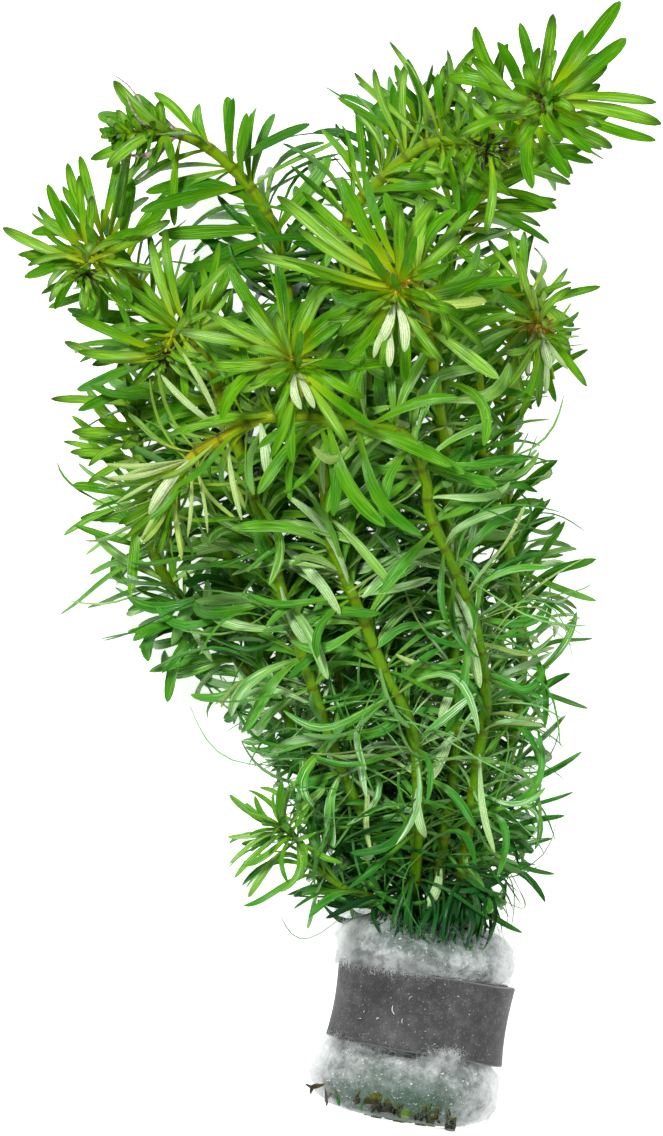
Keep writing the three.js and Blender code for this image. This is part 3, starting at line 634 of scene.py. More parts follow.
class Leaves:
    """The leaves of a piece. over is where the upper face looks. bow, hook and sway are shares of the length,
    and turn and twist are in radians."""

    def __init__(self, stations=LEAF_STATIONS):
        self.rows = []
        self.stations = stations

    def add(self, base, tip, over, **shape):
        self.rows.append({"base": base, "tip": tip, "over": over, **shape})

    def column(self, name):
        values = np.array([row[name] for row in self.rows], float)
        return values[:, None, :] if values.ndim == 2 else values[:, None, None]

    def paths(self):
        """The leaves' middle lines, and the direction of each leaf's upper face."""
        base, tip, over = self.column("base"), self.column("tip"), self.column("over")
        chord = tip - base
        length = np.linalg.norm(chord, axis=-1, keepdims=True)
        along = chord / length
        over = unit(over - along * (over * along).sum(-1, keepdims=True))
        side = np.cross(along, over)
        t = self.stations[None, :, None]
        bow = self.column("bow") * 4 * t * (1 - t)
        hook = self.column("hook") * t**3 * (1 - t) * 6
        sway = self.column("sway") * np.sin(math.pi * t) * between(*BLADE["sway_grows"], t)
        path = base + chord * t + over * length * (bow - hook) + side * length * sway
        path[..., 2] = np.maximum(path[..., 2], LOWEST_LEAF)
        return path, over

    def corners(self):
        path, over = self.paths()
        t = self.stations[None, :, None]
        tangent = unit(np.gradient(path, axis=1))
        normal = unit(over - tangent * (over * tangent).sum(-1, keepdims=True))
        side = np.cross(tangent, normal)
        turn = self.column("turn") + self.column("twist") * t
        side, normal = (
            side * np.cos(turn) + normal * np.sin(turn),
            normal * np.cos(turn) - side * np.sin(turn),
        )
        width = self.column("width")
        half = width / 2 * blade_width(t)
        across = SECTION["across"][None, None, :, None]
        fold = (self.column("fold") * half)[:, :, None, :] * np.abs(across) ** FOLD_CURVE
        thick = np.minimum(LEAF["thickness"], LEAF["thickness_share"] * width) * (1 - BLADE["thinned"] * t)
        height = thick[:, :, None, :] * SECTION["height"][None, None, :, None]
        wide = path[:, :, None] + side[:, :, None] * half[:, :, None] * across
        return wide + normal[:, :, None] * (fold + height)

    def add_to(self, tubes, slot, warmth):
        place = stacked(self.stations[:, None], SECTION["across"], SECTION["upper"])
        kind = stacked(self.column("age"), self.column("shade"), warmth)
        tubes.add(self.corners(), slot, place, kind)


def stem_line(stem):
    """A stem's centreline: straight through the holder, then along its route to the apex."""
    angle = math.radians(stem["degrees"])
    radius = RINGS[stem["ring"]]
    held = [
        holder_point(radius * math.cos(angle), along, radius * math.sin(angle))
        for along in (CUT_END, 0, HOLDER_TOP)
    ]
    return Centreline(np.vstack([held, np.array(stem["route"], float)]))


def crown_whorls(look):
    """Where a crown's whorls sit, as distance from the apex, and how grown each is, from 0 to 1."""
    before, after = CROWN["round_the_nod"]
    for i in range(look["whorls"]):
        grown = (i + 0.5) / (look["whorls"] - 0.5)
        back = look["reach"] * grown ** CROWN["crowding"]
        if look["nod"]:
            back = between(look["nod"] + before, look["nod"] + after, grown)
        yield min(back, CROWN["lowest_whorl"]), grown


def outline_at(y):
    """How far the bunch reaches to the left and to the right at a distance along it."""
    return [np.interp(y, OUTLINE[:, 0], OUTLINE[:, side]) for side in (1, 2)]


def depth_at(point):
    """How deep in the bunch a place is: 0 outside, 1 well below the uppermost stalks, more above the wad.
    Leaves get painted shade by it.
    """
    below = smooth(np.interp(point[1], CANOPY[:, 0], CANOPY[:, 1]) - point[2], *DEPTH["below"])
    low = smooth(point[1], *DEPTH["low"]) + DEPTH["lowest_adds"] * smooth(point[1], *DEPTH["lowest"])
    left, right = outline_at(point[1])
    inside = min(point[0] - left, right - point[0])
    return float(max(below * smooth(inside, *DEPTH["inside"]), low * smooth(inside, *DEPTH["inside_low"])))


def whorls_of(line, look):
    """The whorls of a stem, youngest first, each with its place on the stalk and the form of its leaves."""
    whorls = []

    def add(station, facing, **form):
        point, tangent, normal = line.at(station)
        axis = unit(tangent + UP * CROWN["upturned"] * min(facing, 1)) if form["crown"] else tangent
        normal = unit(normal - axis * (normal @ axis))
        depth = 0 if form["crown"] else depth_at(point)
        whorls.append({
            "point": point, "tangent": tangent, "axis": axis, "normal": normal, "station": station,
            "facing": facing, "taken": [], "depth": depth, "look": look, **form,
        })

    for back, grown in crown_whorls(look):
        add(
            line.length - back, look["facing"], crown=True, age=back / OLDEST + look["aged"],
            width=look["width"], lean=between(look["young"], look["open"], grown ** CROWN["opening"]),
            size=look["length"] * between(look["smallest"], 1, grown),
            count=between(CROWN["least_leaves"], look["leaves"], grown),
        )
    station = line.length - CROWN["length"] - WHORL["below_crown"]
    while station > WHORL["lowest"]:
        back = line.length - station
        age = min(1, back / OLDEST)
        young = float(smooth(back, *WHORL["like_crown"]))
        filled = float(smooth(back, *WHORL["filling"]))
        add(
            station, between(WHORL["facing"], look["facing"], young), crown=False,
            age=float(np.clip(age + look["older"], *WHORL["ages"])),
            width=between(look["lower_width"], look["width"], young), lean=between(*WHORL["lean"], age),
            size=LEAF["length"] * between(*WHORL["longer"], age),
            count=between(look["upper_leaves"], look["lower_leaves"], filled),
        )
        station -= WHORL["spacing"] + rng.uniform(-1, 1) * WHORL["jitter"]
    return whorls


def leaf_form(whorl, loose=1.0):
    """The random part of a leaf's form, and its shade, lowered deep in the bunch as painted shade. Older
    leaves are narrower, more folded and more bent.
    """
    age, depth = whorl["age"], whorl["depth"]
    young = min(1, whorl["size"] / LEAF["length"])
    width = LEAF["width"] * whorl["width"] * between(LEAF["short_width"], 1, young)
    width = width * between(1, LEAF["old_width"], age)
    narrowest, widest = WIDTHS["range"]
    form = {"width": width * rng.uniform(narrowest, widest + WIDTHS["older"] * age), "age": age}
    for name, (new, added) in BENDS.items():
        form[name] = rng.uniform(*new) + loose * age * rng.uniform(*added)
    for name, (usual, added, most) in SWINGS.items():
        form[name] = loose * np.clip(rng.normal(0, usual + added * age), -most, most)
    form["fold"] = between(*FOLD["by_age"], age) * rng.uniform(*FOLD["range"])
    # The shade is random, and lowered deep in the bunch: painted shade
    shade = rng.random() * (1 - SHADE["narrowed"] * depth) - SHADE["painted_darkening"] * depth
    form["shade"] = min(SHADE["most"], shade + whorl["look"]["bright"])
    return form


def upper_side(whorl):
    """Where a leaf's upper face looks: to the apex and up to the light, or down to show its underside."""
    facing = whorl["facing"] * rng.uniform(*FACING_SPREAD)
    if rng.random() < between(*UNDERSIDES, whorl["age"]):
        facing = -facing
    return whorl["axis"] + UP * facing


def keep_clear(base, tip, beyond):
    """Shortens a leaf until it ends inside the bunch's outline, and keeps it in the box and off the wad."""
    reach = tip - base
    for share in SHORTENED:
        tip = base + reach * share
        left, right = outline_at(tip[1])
        if left - beyond < tip[0] < right + beyond:
            tip = np.clip(tip, BOX_LOW + BOX_MARGIN, BOX_HIGH - BOX_MARGIN)
            lowest = LOWEST_TIP["over_wad" if tip[2] > LOWEST_TIP["wad_height"] else "at_wad"]
            return tip + ALONG * max(0, lowest - (tip - HOLDER_CENTRE) @ ALONG)
    return None


def grow_to_tip(whorls, x, y):
    """A leaf that ends over a place seen from above. It grows from the whorl that suits its length best."""
    sign = 1 if rng.random() < TO_TIP["rising"] else -1
    least, most = TO_TIP["along_stalk"]
    best = None
    for whorl in whorls:
        flat = math.hypot(x - whorl["point"][0], y - whorl["point"][1])
        size = whorl["look"]["tip_leaf"]
        rise = min(LEAF["most_rise"], math.sqrt(max(0, size**2 - flat**2)))
        for share in (sign, 0, -sign):
            tip = np.array([x, y, max(TO_TIP["lowest"], whorl["point"][2] + share * rise)])
            chord = tip - whorl["point"]
            length = np.linalg.norm(chord)
            if length > LEAF["longest"] or not least < chord @ whorl["tangent"] / length < most:
                continue
            crowded = sum(other @ chord / length > TO_TIP["crowded"] for other in whorl["taken"])
            misfit = abs(length - size) + abs(share - sign) + TO_TIP["crowding_cost"] * crowded
            if best is None or misfit < best[0]:
                best = (misfit, whorl, tip, chord / length)
    if best:
        _, whorl, tip, reach = best
        whorl["taken"].append(reach)
        over = whorl["axis"] + UP * whorl["facing"] * rng.uniform(*TO_TIP["facing_spread"])
        full = {**whorl, "size": LEAF["length"]}
        whorl["leaves"].add(whorl["point"], tip, over, **leaf_form(full, TO_TIP["loose"]))


def grow_shown(line, whorls, start, end, width, pale):
    """A leaf from the place on the stalk nearest to start to above end. A pale one shows its underside."""
    station = line.nearest(*start)
    base = line.at(station)[0]
    whorl = min(whorls, key=lambda each: abs(each["station"] - station))
    reach = math.hypot(end[0] - base[0], end[1] - base[1])
    tip = np.array([*end, base[2] + SHOWN["slope"] * reach + SHOWN["rise"]])
    form = leaf_form(whorl, loose=0)
    if pale:
        side, shade = -1, between(*SHOWN["pale_shade"], smooth(width, *SHOWN["pale_width"]))
    else:
        side, shade = 1, rng.uniform(*SHOWN["shade"])
    form.update(width=width, shade=shade, age=max(SHOWN["youngest"], whorl["age"]))
    form.update(bow=side * rng.uniform(*SHOWN["bow"]), sway=rng.normal(0, SHOWN["sway"]))
    form.update(fold=rng.uniform(*SHOWN["fold"]))
    whorl["taken"].append(unit(tip - base))
    whorl["leaves"].add(base, tip, side * UP, **form)


def leaning(axis, first, second, around, lean):
    """A unit step at one angle round an axis that leans away from it by another."""
    out = first * math.cos(around) + second * math.sin(around)
    return axis * math.cos(lean) + out * math.sin(lean)


def grow_whorl(whorl):
    """A whorl's other leaves, spread round the stalk. Old ones that rise towards the camera flop over."""
    axis, first, age = whorl["axis"], whorl["normal"], whorl["age"]
    second = np.cross(axis, first)
    shortest, longest = GROWTH["length"]
    turn = rng.uniform(0, 360)
    count = round(whorl["count"])
    for i in range(count):
        around = math.radians(turn + 360 * i / count + rng.normal(0, GROWTH["around"]))
        lean = math.radians(whorl["lean"] + rng.normal(0, GROWTH["lean"] + GROWTH["lean_by_age"] * age))
        reach = leaning(axis, first, second, around, lean)
        if not whorl["crown"] and reach[2] > UPRIGHT["rise"] and rng.random() < UPRIGHT["turned"]:
            reach[2] *= -1
        thread = rng.random() < THREAD["share"] * age
        length = whorl["size"] * rng.uniform(shortest, longest + GROWTH["length_by_age"] * age)
        length *= THREAD["length"] if thread else 1
        aside = rng.normal(0, 1, 3) * GROWTH["aside"]
        if not whorl["crown"]:
            rising = max(0, reach[2])
            reach = unit(reach - UP * GROWTH["flop"] * rising + aside * rising)
        if any(other @ reach > GROWTH["crowded"] for other in whorl["taken"]):
            continue
        tip = whorl["point"] + reach * length
        tip[2] -= GROWTH["sag"] * length * math.sin(lean) * rng.uniform(*GROWTH["sag_spread"])
        tip = keep_clear(whorl["point"], tip, max(whorl["look"]["beyond"], THREAD["beyond"] * thread))
        over = upper_side(whorl)
        form = leaf_form(whorl)
        if thread:
            form.update(width=form["width"] * THREAD["width"], hook=0.0)
        if tip is not None:
            whorl["leaves"].add(whorl["point"], tip, over, **form)


def drape(leaves, line):
    """Old leaves, dark with age and with painted shade, that hang from the lowest part of a stalk over the
    top of the wad.
    """
    old = {"age": 1, "size": LEAF["length"], "width": DRAPED["width"], "depth": 1, "look": PLAIN_LOOK}
    for _ in range(DRAPED["leaves"]):
        base = line.at(rng.uniform(*DRAPED["from"]))[0]
        along = rng.uniform(*DRAPED["along"])
        radius = wad_radius(along) + DRAPED["lift"]
        across = DRAPED["outward"] * (base - HOLDER_CENTRE) @ ACROSS + rng.normal(0, DRAPED["aside"])
        across = np.clip(across, -DRAPED["farthest"] * radius, DRAPED["farthest"] * radius)
        tip = holder_point(across, along, math.sqrt(radius**2 - across**2))
        form = leaf_form(old, DRAPED["loose"])
        # Their low shades give them painted shade
        form.update(shade=rng.uniform(*DRAPED["shade"]), bow=rng.uniform(*DRAPED["bow"]))
        leaves.add(base, tip, UP + DRAPED["facing"] * ALONG, **form)


def grow_dried(scales, line, start, end, width):
    """A dried leaf or a long hair, from the place on the stalk nearest to start to above end."""
    form = DRIED_FORM
    base = line.at(line.nearest(*start))[0]
    tip = np.array([*end, base[2] + rng.uniform(*form["rise"])])
    scales.add(
        base, tip, UP, width=width, bow=rng.uniform(*form["bow"]), hook=rng.uniform(*form["hook"]),
        sway=rng.normal(0, form["sway"]), turn=rng.normal(0, form["turn"]),
        twist=rng.normal(0, form["twist"]), fold=0.5, age=BUD_KINDS["dried"], shade=rng.random(),
    )


def bud_scales(line, look):
    """The tight young leaves and the fine hairs of a bud, which sits where the crown opens."""
    scales = Leaves(SCALE_STATIONS)
    form = BUD_FORM
    point, tangent, normal = line.at(line.length - look["nod"] - form["back"])
    axis = unit(tangent + UP * form["upturned"])
    normal = unit(normal - axis * (normal @ axis))
    second = np.cross(axis, normal)
    for kind, (count, size, width, outermost) in BUD.items():
        for i in range(count):
            grown = (i + 0.5) / count
            around = math.radians(form["turn"] * i + rng.normal(0, form["around"]))
            lean = math.radians(between(form["innermost"], outermost, grown) + rng.normal(0, form["lean"]))
            reach = leaning(axis, normal, second, around, lean)
            length = look["bud"] * size * between(*form["length"], grown) * rng.uniform(*form["spread"])
            scales.add(
                point, point + reach * length + axis * form["raised"], axis, bow=-0.1, hook=0.0, fold=0.4,
                width=width * between(*form["width"], grown), sway=rng.normal(0, form["sway"]),
                turn=rng.normal(0, form["twist"]), twist=rng.normal(0, form["twist"]),
                age=BUD_KINDS[kind], shade=rng.random(),
            )
    return scales


def add_stalk(tubes, slot, line, start, end, nodes, look):
    """The stalk between two distances along its centreline, ribbed and swollen at its nodes."""
    stations = np.linspace(start, end, int((end - start) / STALK["ring_spacing"]))
    points, tangents, normals = line.at(stations)
    nearest = np.abs(stations[:, None] - np.array(nodes)[None, :]).min(1)
    swollen = np.exp(-((nearest / STALK["swelling_reach"]) ** 2))
    slim = smooth(line.length - stations, 0, STALK["taper"] + look["nod"])
    radius = between(STALK["tip_radius"], STALK["radius"] * look["stalk"], slim)
    radius = radius * (1 + STALK["swelling"] * swollen)
    angles = turn_of(STALK["sides"])
    ribbed = 1 + STALK["rib"] * np.cos(STALK["ribs"] * angles)
    corners = round_section(points, normals, np.cross(tangents, normals), radius[:, None] * ribbed, angles)
    place = stacked(np.cos(angles), np.sin(angles), stations[:, None] * STALK["stripes"])
    age = (line.length - stations) / OLDEST + look["older"] + look["stalk_aged"]
    kind = stacked(swollen[:, None], np.clip(age, 0, STALK["most_age"])[:, None], look["warmth"])
    tubes.add(corners[None], slot, place, kind)


def wad_radius(along):
    return np.interp(along, WAD[:, 0], WAD[:, 1])


def lumps(angle, along, scale, seed, waves=8):
    """A soft random height, from about -1 to 1, that is even all round the wad."""
    total = np.zeros(np.broadcast(angle, along).shape)
    wave = np.random.default_rng(seed)
    for order in range(1, waves + 1):
        turns = wave.integers(1, 4 + 2 * order)
        total += np.sin(turns * angle + along * wave.normal(0, scale) + wave.uniform(0, 6.3)) / waves**0.5
    return total


def gap(angle, along):
    """1 where the floss has sunk away from under the strip's lower edge, and 0 elsewhere."""
    across = STRIP["radius"] * np.cos(angle)
    left, right = GAP["across"]
    wide = smooth(across, left, left + GAP["blend"]) * smooth(across, right, right - GAP["blend"])
    return wide * (np.sin(angle) > 0) * np.exp(-(((along - GAP["along"]) / GAP["length"]) ** 2))


# The wad's surface. It bulges out past the strip's edges. Its lumps are in layers: how high, how much closer
# round the wad than along it, how close along it, and a seed.
CORE = {"rings": 96, "corners": 150, "bulges": (8, 11), "sunk": 0.3}
LUMPS = [(0.55, 1, 0.35, 3), (0.22, 3, 1.1, 4), (0.14, 7, 2.2, 5)]


def floss_core():
    """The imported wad, as one closed and lumpy surface."""
    angles = turn_of(CORE["corners"])
    ladder = np.linspace(0, 1, CORE["rings"])
    along = np.interp(ladder, np.linspace(0, 1, len(WAD)), WAD[:, 0])[:, None]
    rough = sum(height * lumps(angles * closer, along, scale, seed) for height, closer, scale, seed in LUMPS)
    bulge = smooth(np.abs(along), *CORE["bulges"])
    radius = wad_radius(along) + bulge * (rough - CORE["sunk"]) - GAP["depth"] * gap(angles, along)
    corners = holder_point(radius * np.cos(angles), along + 0 * angles, radius * np.sin(angles))
    tubes = Tubes()
    tubes.add(corners[None], 0, stacked(np.cos(angles), np.sin(angles), along / WAD_REACH), 0.0)
    return tubes


# How high the loops of loose fibres rise and how few rise that high, how much they curl, how deep their ends
# sit, and how far those that leave their stretch of the wad are drawn back
THREAD_FORM = {
    "rise": (0.1, 1.0), "few_high": 1.6, "curl": 0.35, "rooted": 0.5, "drawn_back": 0.8, "lowest": 0.1,
    "sides": 3,
}
# The fibres at both of the wad's ends, their stretches along the holder, and how far they rise there
FIBRES = {"count": 1600, "lengths": (3, 9), "half_width": (0.013, 0.022), "rings": 5}
STRETCHES = [(8.2, 18.8, 2.0), (-22.4, -8.2, 2.2)]
# Finer ones where the floss has come over the strip. Of each patch: how many, the angle and its spread, the
# place along the holder and its spread, and the radius
FUZZ = {"lengths": (0.8, 2.6), "half_width": (0.009, 0.016), "rings": 4, "lift": 0.6, "before": 3, "after": 4}
FUZZ_PLACES = [
    (1300, 142, 24, 8.6, 0.9, 18.3), (800, 108, 12, 8.7, 0.8, 18.4), (420, 63, 5.0, -7.8, 0.9, 18.7),
    (360, 71, 5.5, -8.7, 0.9, 18.7), (600, 145, 18, -8.9, 0.7, 17.8),
]


def fibres(tubes, degrees, along, reach, lift, sizes, radius=0):
    """Fine curled threads at some angles round the wad and places along it. They stay inside reach there."""
    count = len(along)
    low, high = reach
    angle = np.radians(degrees)
    radial = unit(holder_point(np.cos(angle), 0 * along, np.sin(angle)) - HOLDER_CENTRE)
    level = np.maximum(wad_radius(along), radius)
    start = holder_point(level * np.cos(angle), along, level * np.sin(angle))
    heading = rng.uniform(0, 2 * math.pi, count)[:, None]
    ahead = np.cross(ALONG, radial) * np.cos(heading) + ALONG * np.sin(heading)
    aside = np.cross(radial, ahead)
    length = rng.uniform(*sizes["lengths"], count)[:, None, None]
    rise = (lift * rng.uniform(*THREAD_FORM["rise"], count) ** THREAD_FORM["few_high"])[:, None, None]
    curl = rng.uniform(-THREAD_FORM["curl"], THREAD_FORM["curl"], count)[:, None, None]
    phase = rng.uniform(0, 6.3, count)[:, None, None]
    t = np.linspace(0, 1, sizes["rings"])[None, :, None]
    path = (
        start[:, None] + ahead[:, None] * length * (t - 0.5) - radial[:, None] * THREAD_FORM["rooted"]
        + radial[:, None] * rise * np.sin(math.pi * t)
        + aside[:, None] * length * curl * np.sin(2 * math.pi * t + phase)
    )
    beyond = (path - HOLDER_CENTRE) @ ALONG
    outside = np.maximum(beyond - high, 0) + np.minimum(beyond - low, 0)
    path -= ALONG * outside[..., None] * THREAD_FORM["drawn_back"]
    path[..., 2] = np.maximum(path[..., 2], THREAD_FORM["lowest"])
    tangent = unit(np.gradient(path, axis=1))
    side = unit(np.cross(tangent, radial[:, None] + 0.01))
    thick = rng.uniform(*sizes["half_width"], count)[:, None, None]
    corners = round_section(path, side, np.cross(tangent, side), thick, turn_of(THREAD_FORM["sides"]))
    tubes.add(corners, 0, stacked(np.cos(angle), np.sin(angle), along / WAD_REACH)[:, None, None], 0.0)


# Shreds of floss on the strip's face: across and along the holder, length, direction, and half width
LINT = [
    (-6.3, 7.4, 1.2, 20, 0.2), (-1.9, 2.7, 1.1, 60, 0.11), (-4.8, -0.2, 1.9, 112, 0.13),
    (-2.7, -2.1, 0.9, 95, 0.13), (-7.7, -2.5, 0.6, 40, 0.15), (-11.2, -3.2, 0.5, 10, 0.12),
    (-10.6, -1.6, 0.4, 80, 0.1), (2.2, -3.4, 0.5, 30, 0.08), (7.5, 4.6, 0.6, 0, 0.08),
    (-12.0, 3.2, 0.5, 70, 0.09), (4.4, -5.6, 0.5, 15, 0.08), (-0.6, -6.2, 0.5, 50, 0.09),
]
LINT_FORM = {"rings": 6, "sides": 6, "curve": 0.18, "lift": 0.1, "taper": 1.9}


def lint(tubes):
    t = np.linspace(-0.5, 0.5, LINT_FORM["rings"])
    for across, along, length, degrees, thick in LINT:
        cos, sin = math.cos(math.radians(degrees)), math.sin(math.radians(degrees))
        curve = LINT_FORM["curve"] * length * np.sin(math.pi * (t + 0.5))
        wide = across + length * t * cos - curve * sin
        far = along + length * t * sin + curve * cos
        turned = math.degrees(math.acos(across / STRIP["radius"])) - STRIP["outer_end"]
        radius = STRIP["radius"] - STRIP_STEP * strip_drop(turned % 360) + LINT_FORM["lift"]
        path = holder_point(wide, far, np.sqrt(radius**2 - wide**2))
        tangent = unit(np.gradient(path, axis=0))
        side = unit(np.cross(tangent, UP))
        slim = thick * np.sqrt(1 - (LINT_FORM["taper"] * t) ** 2)
        angles = turn_of(LINT_FORM["sides"])
        corners = round_section(path, side, np.cross(side, tangent), slim[:, None], angles)
        tubes.add(corners[None], 0, 0.0, 0.0)


def floss_threads():
    """All that is loose on the wad: its fibres, the fuzz that has come over the strip, and the lint on it."""
    tubes = Tubes()
    count = FIBRES["count"]
    for low, high, lift in STRETCHES:
        degrees, along = rng.uniform(0, 360, count), rng.uniform(low, high, count)
        kept = gap(np.radians(degrees), along) < 0.1
        fibres(tubes, degrees[kept], along[kept], (low, high), lift, FIBRES)
    for count, degrees, wide, along, deep, radius in FUZZ_PLACES:
        around = rng.normal(degrees, wide, count)
        places = rng.normal(along, deep, count)
        reach = (along - FUZZ["before"], along + FUZZ["after"])
        fibres(tubes, around, places, reach, FUZZ["lift"], FUZZ, radius)
    lint(tubes)
    return tubes


# From the strip's outer layer to its inner one
STRIP_STEP = STRIP["thickness"] + STRIP["lap_gap"]
# Its edges and all of it sway along the holder in some waves round it, its outer end droops, and it has
# shallow dents. Its lower edge lifts into a lip over the gap.
STRIP_FORM = {
    "rings": 170, "across": 13, "edges_sway": 0.14, "edge_waves": 3, "sway": 0.1, "waves": 7, "droop": 0.3,
    "droops": (0.6, 1), "dents": 0.08, "dent_scale": 0.3, "dent_seed": 8,
}
LIP = {"left": (-11, -8), "right": (2, 0), "lift": 0.7, "deep": 3}


def strip_drop(turned):
    """How far the strip has come down to its inner layer, from 0 to 1, at some degrees from its outer end."""
    return smooth(turned, STRIP["lap"], 3 * STRIP["lap"])


def strip_section():
    """The strip's corners across and deep, anticlockwise, with rounded edges."""
    half, edge, inner = STRIP["width"] / 2, STRIP["edge"], -STRIP["thickness"]
    ladder = np.linspace(edge - half, half - edge, STRIP_FORM["across"])
    top = [(-half, -edge), *[(width, 0.0) for width in ladder], (half, -edge)]
    bottom = [(half, inner + edge), *[(width, inner) for width in ladder[::-1]], (-half, inner + edge)]
    return np.array((top + bottom)[::-1]).T


def strip_tubes():
    """The metal strip: an oval spiral that laps over its own start."""
    form = STRIP_FORM
    half = STRIP["width"] / 2
    turned = np.linspace(0, 360 + STRIP["lap"], form["rings"])[:, None]
    dropped = strip_drop(turned)
    outer = STRIP["radius"] - STRIP_STEP * dropped
    angle = np.radians(STRIP["outer_end"] + turned)
    across = np.cos(angle) * outer
    width, depth = strip_section()
    edges_sway = form["edges_sway"] * np.sin(form["edge_waves"] * angle + 1) * np.sign(width)
    sway = form["sway"] * np.sin(form["waves"] * angle) - form["droop"] * smooth(1 - dropped, *form["droops"])
    dent = form["dents"] * lumps(angle, width, form["dent_scale"], form["dent_seed"])
    flare = STRIP["flare"] * ((width / half) ** 2 - 0.5)
    lip = smooth(across, *LIP["left"]) * smooth(across, *LIP["right"]) * (np.sin(angle) > 0)
    lip = LIP["lift"] * lip * smooth(width, LIP["deep"] - half, -half)
    radius = outer + depth + dent + flare + lip
    corners = holder_point(radius * np.cos(angle), width + edges_sway + sway, radius * np.sin(angle))
    tubes = Tubes()
    tubes.add(corners[None], 0, stacked(turned / 60, width / half, depth), 0.0)
    return tubes


class Shader:
    """A node material, with short ways to add and join its nodes."""

    def __init__(self, name, roughness, **constants):
        self.material = bpy.data.materials.new(name)
        self.material.use_nodes = True
        self.tree = self.material.node_tree
        self.surface = self.tree.nodes["Principled BSDF"]
        self.surface.inputs["Roughness"].default_value = roughness
        for key, value in constants.items():
            self.surface.inputs[key.replace("_", " ")].default_value = value

    def set(self, socket, value):
        if isinstance(value, bpy.types.NodeSocket):
            self.tree.links.new(value, socket)
        else:
            socket.default_value = value

    def node(self, kind, *inputs, **settings):
        made = self.tree.nodes.new("ShaderNode" + kind)
        for key, value in settings.items():
            setattr(made, key, value)
        for socket, value in zip(made.inputs, inputs):
            self.set(socket, value)
        return made

    def vector(self, attribute):
        return self.node("Attribute", attribute_name=attribute).outputs["Vector"]

    def parts(self, attribute):
        """The three numbers of a vector that the mesh holds."""
        return self.node("SeparateXYZ", self.vector(attribute)).outputs

    def where(self):
        return self.node("TexCoord").outputs["Object"]

    def join(self, x, y, z):
        return self.node("CombineXYZ", x, y, z).outputs[0]

    def maths(self, operation, *values):
        return self.node("Math", *values, operation=operation).outputs[0]

    def times(self, first, second):
        return self.maths("MULTIPLY", first, second)

    def scaled(self, vector, factors):
        return self.node("VectorMath", vector, factors, operation="MULTIPLY").outputs[0]

    def step(self, value, low, high, to_low=0.0, to_high=1.0):
        """Goes from one number to another while a value goes from low to high."""
        made = self.node("MapRange", value, low, high, to_low, to_high, interpolation_type="SMOOTHSTEP")
        return made.outputs[0]

    def noise(self, vector, scale, detail):
        made = self.node("TexNoise", vector)
        made.inputs["Scale"].default_value = scale
        made.inputs["Detail"].default_value = detail
        return made.outputs[0]

    def mix(self, factor, first, second):
        made = self.node("Mix", data_type="RGBA")
        for socket, value in zip((made.inputs[0], made.inputs[6], made.inputs[7]), (factor, first, second)):
            self.set(socket, (*value, 1.0) if isinstance(value, tuple) else value)
        return made.outputs[2]

    def tint(self, colour, other, value, low, high, share=1.0):
        """Mixes in another colour, up to a share of it, while a value goes from low to high."""
        return self.mix(self.step(value, low, high, 0.0, share), colour, other)

    def bump(self, height, strength, distance):
        made = self.node("Bump")
        made.inputs["Strength"].default_value = strength
        made.inputs["Distance"].default_value = distance
        self.set(made.inputs["Height"], height)
        self.set(self.surface.inputs["Normal"], made.outputs[0])

    def finish(self, colour, roughness=None):
        self.set(self.surface.inputs["Base Color"], colour)
        if roughness is not None:
            self.set(self.surface.inputs["Roughness"], roughness)
        return self.material


# The colours of a leaf when young and when old. shaded is painted shade deep in the bunch, silver a painted
# sheen, and silvery partly the leaves' own pale tone, partly painted sheen
LEAF_COLOURS = {
    "deep": ((0.034, 0.2, 0.0003), (0.012, 0.15, 0.008)),
    "bright": ((0.106, 0.33, 0.0006), (0.064, 0.34, 0.018)),
    "silvery": ((0.42, 0.62, 0.16), (0.36, 0.56, 0.32)),
    "light": ((0.34, 0.62, 0.03), (0.25, 0.56, 0.18)),
    "dark": ((0.012, 0.14, 0.0003), (0.004, 0.1, 0.004)),
    "silver": ((0.78, 0.92, 0.52), (0.72, 0.9, 0.66)),
    "shaded": ((0.014, 0.12, 0.0004), (0.01, 0.075, 0.014)),
}


class LeafParts:
    """What the leaves' meshes tell their shader, and the patterns that both faces share. place is along,
    across and which face; kind is age, a random shade that is lowered deep in the bunch as painted shade,
    and warmth."""

    def __init__(self, s):
        self.along, self.across, self.upper = s.parts("place")
        self.age, self.shade, self.warmth = s.parts("kind")
        self.blade = s.join(self.along, self.across, self.shade)
        self.streaks = s.noise(s.scaled(self.blade, (2.4, 4.0, 40.0)), 1.6, 4.0)
        older = s.step(self.age, 0.05, 0.8)
        self.colours = {name: s.mix(older, *pair) for name, pair in LEAF_COLOURS.items()}


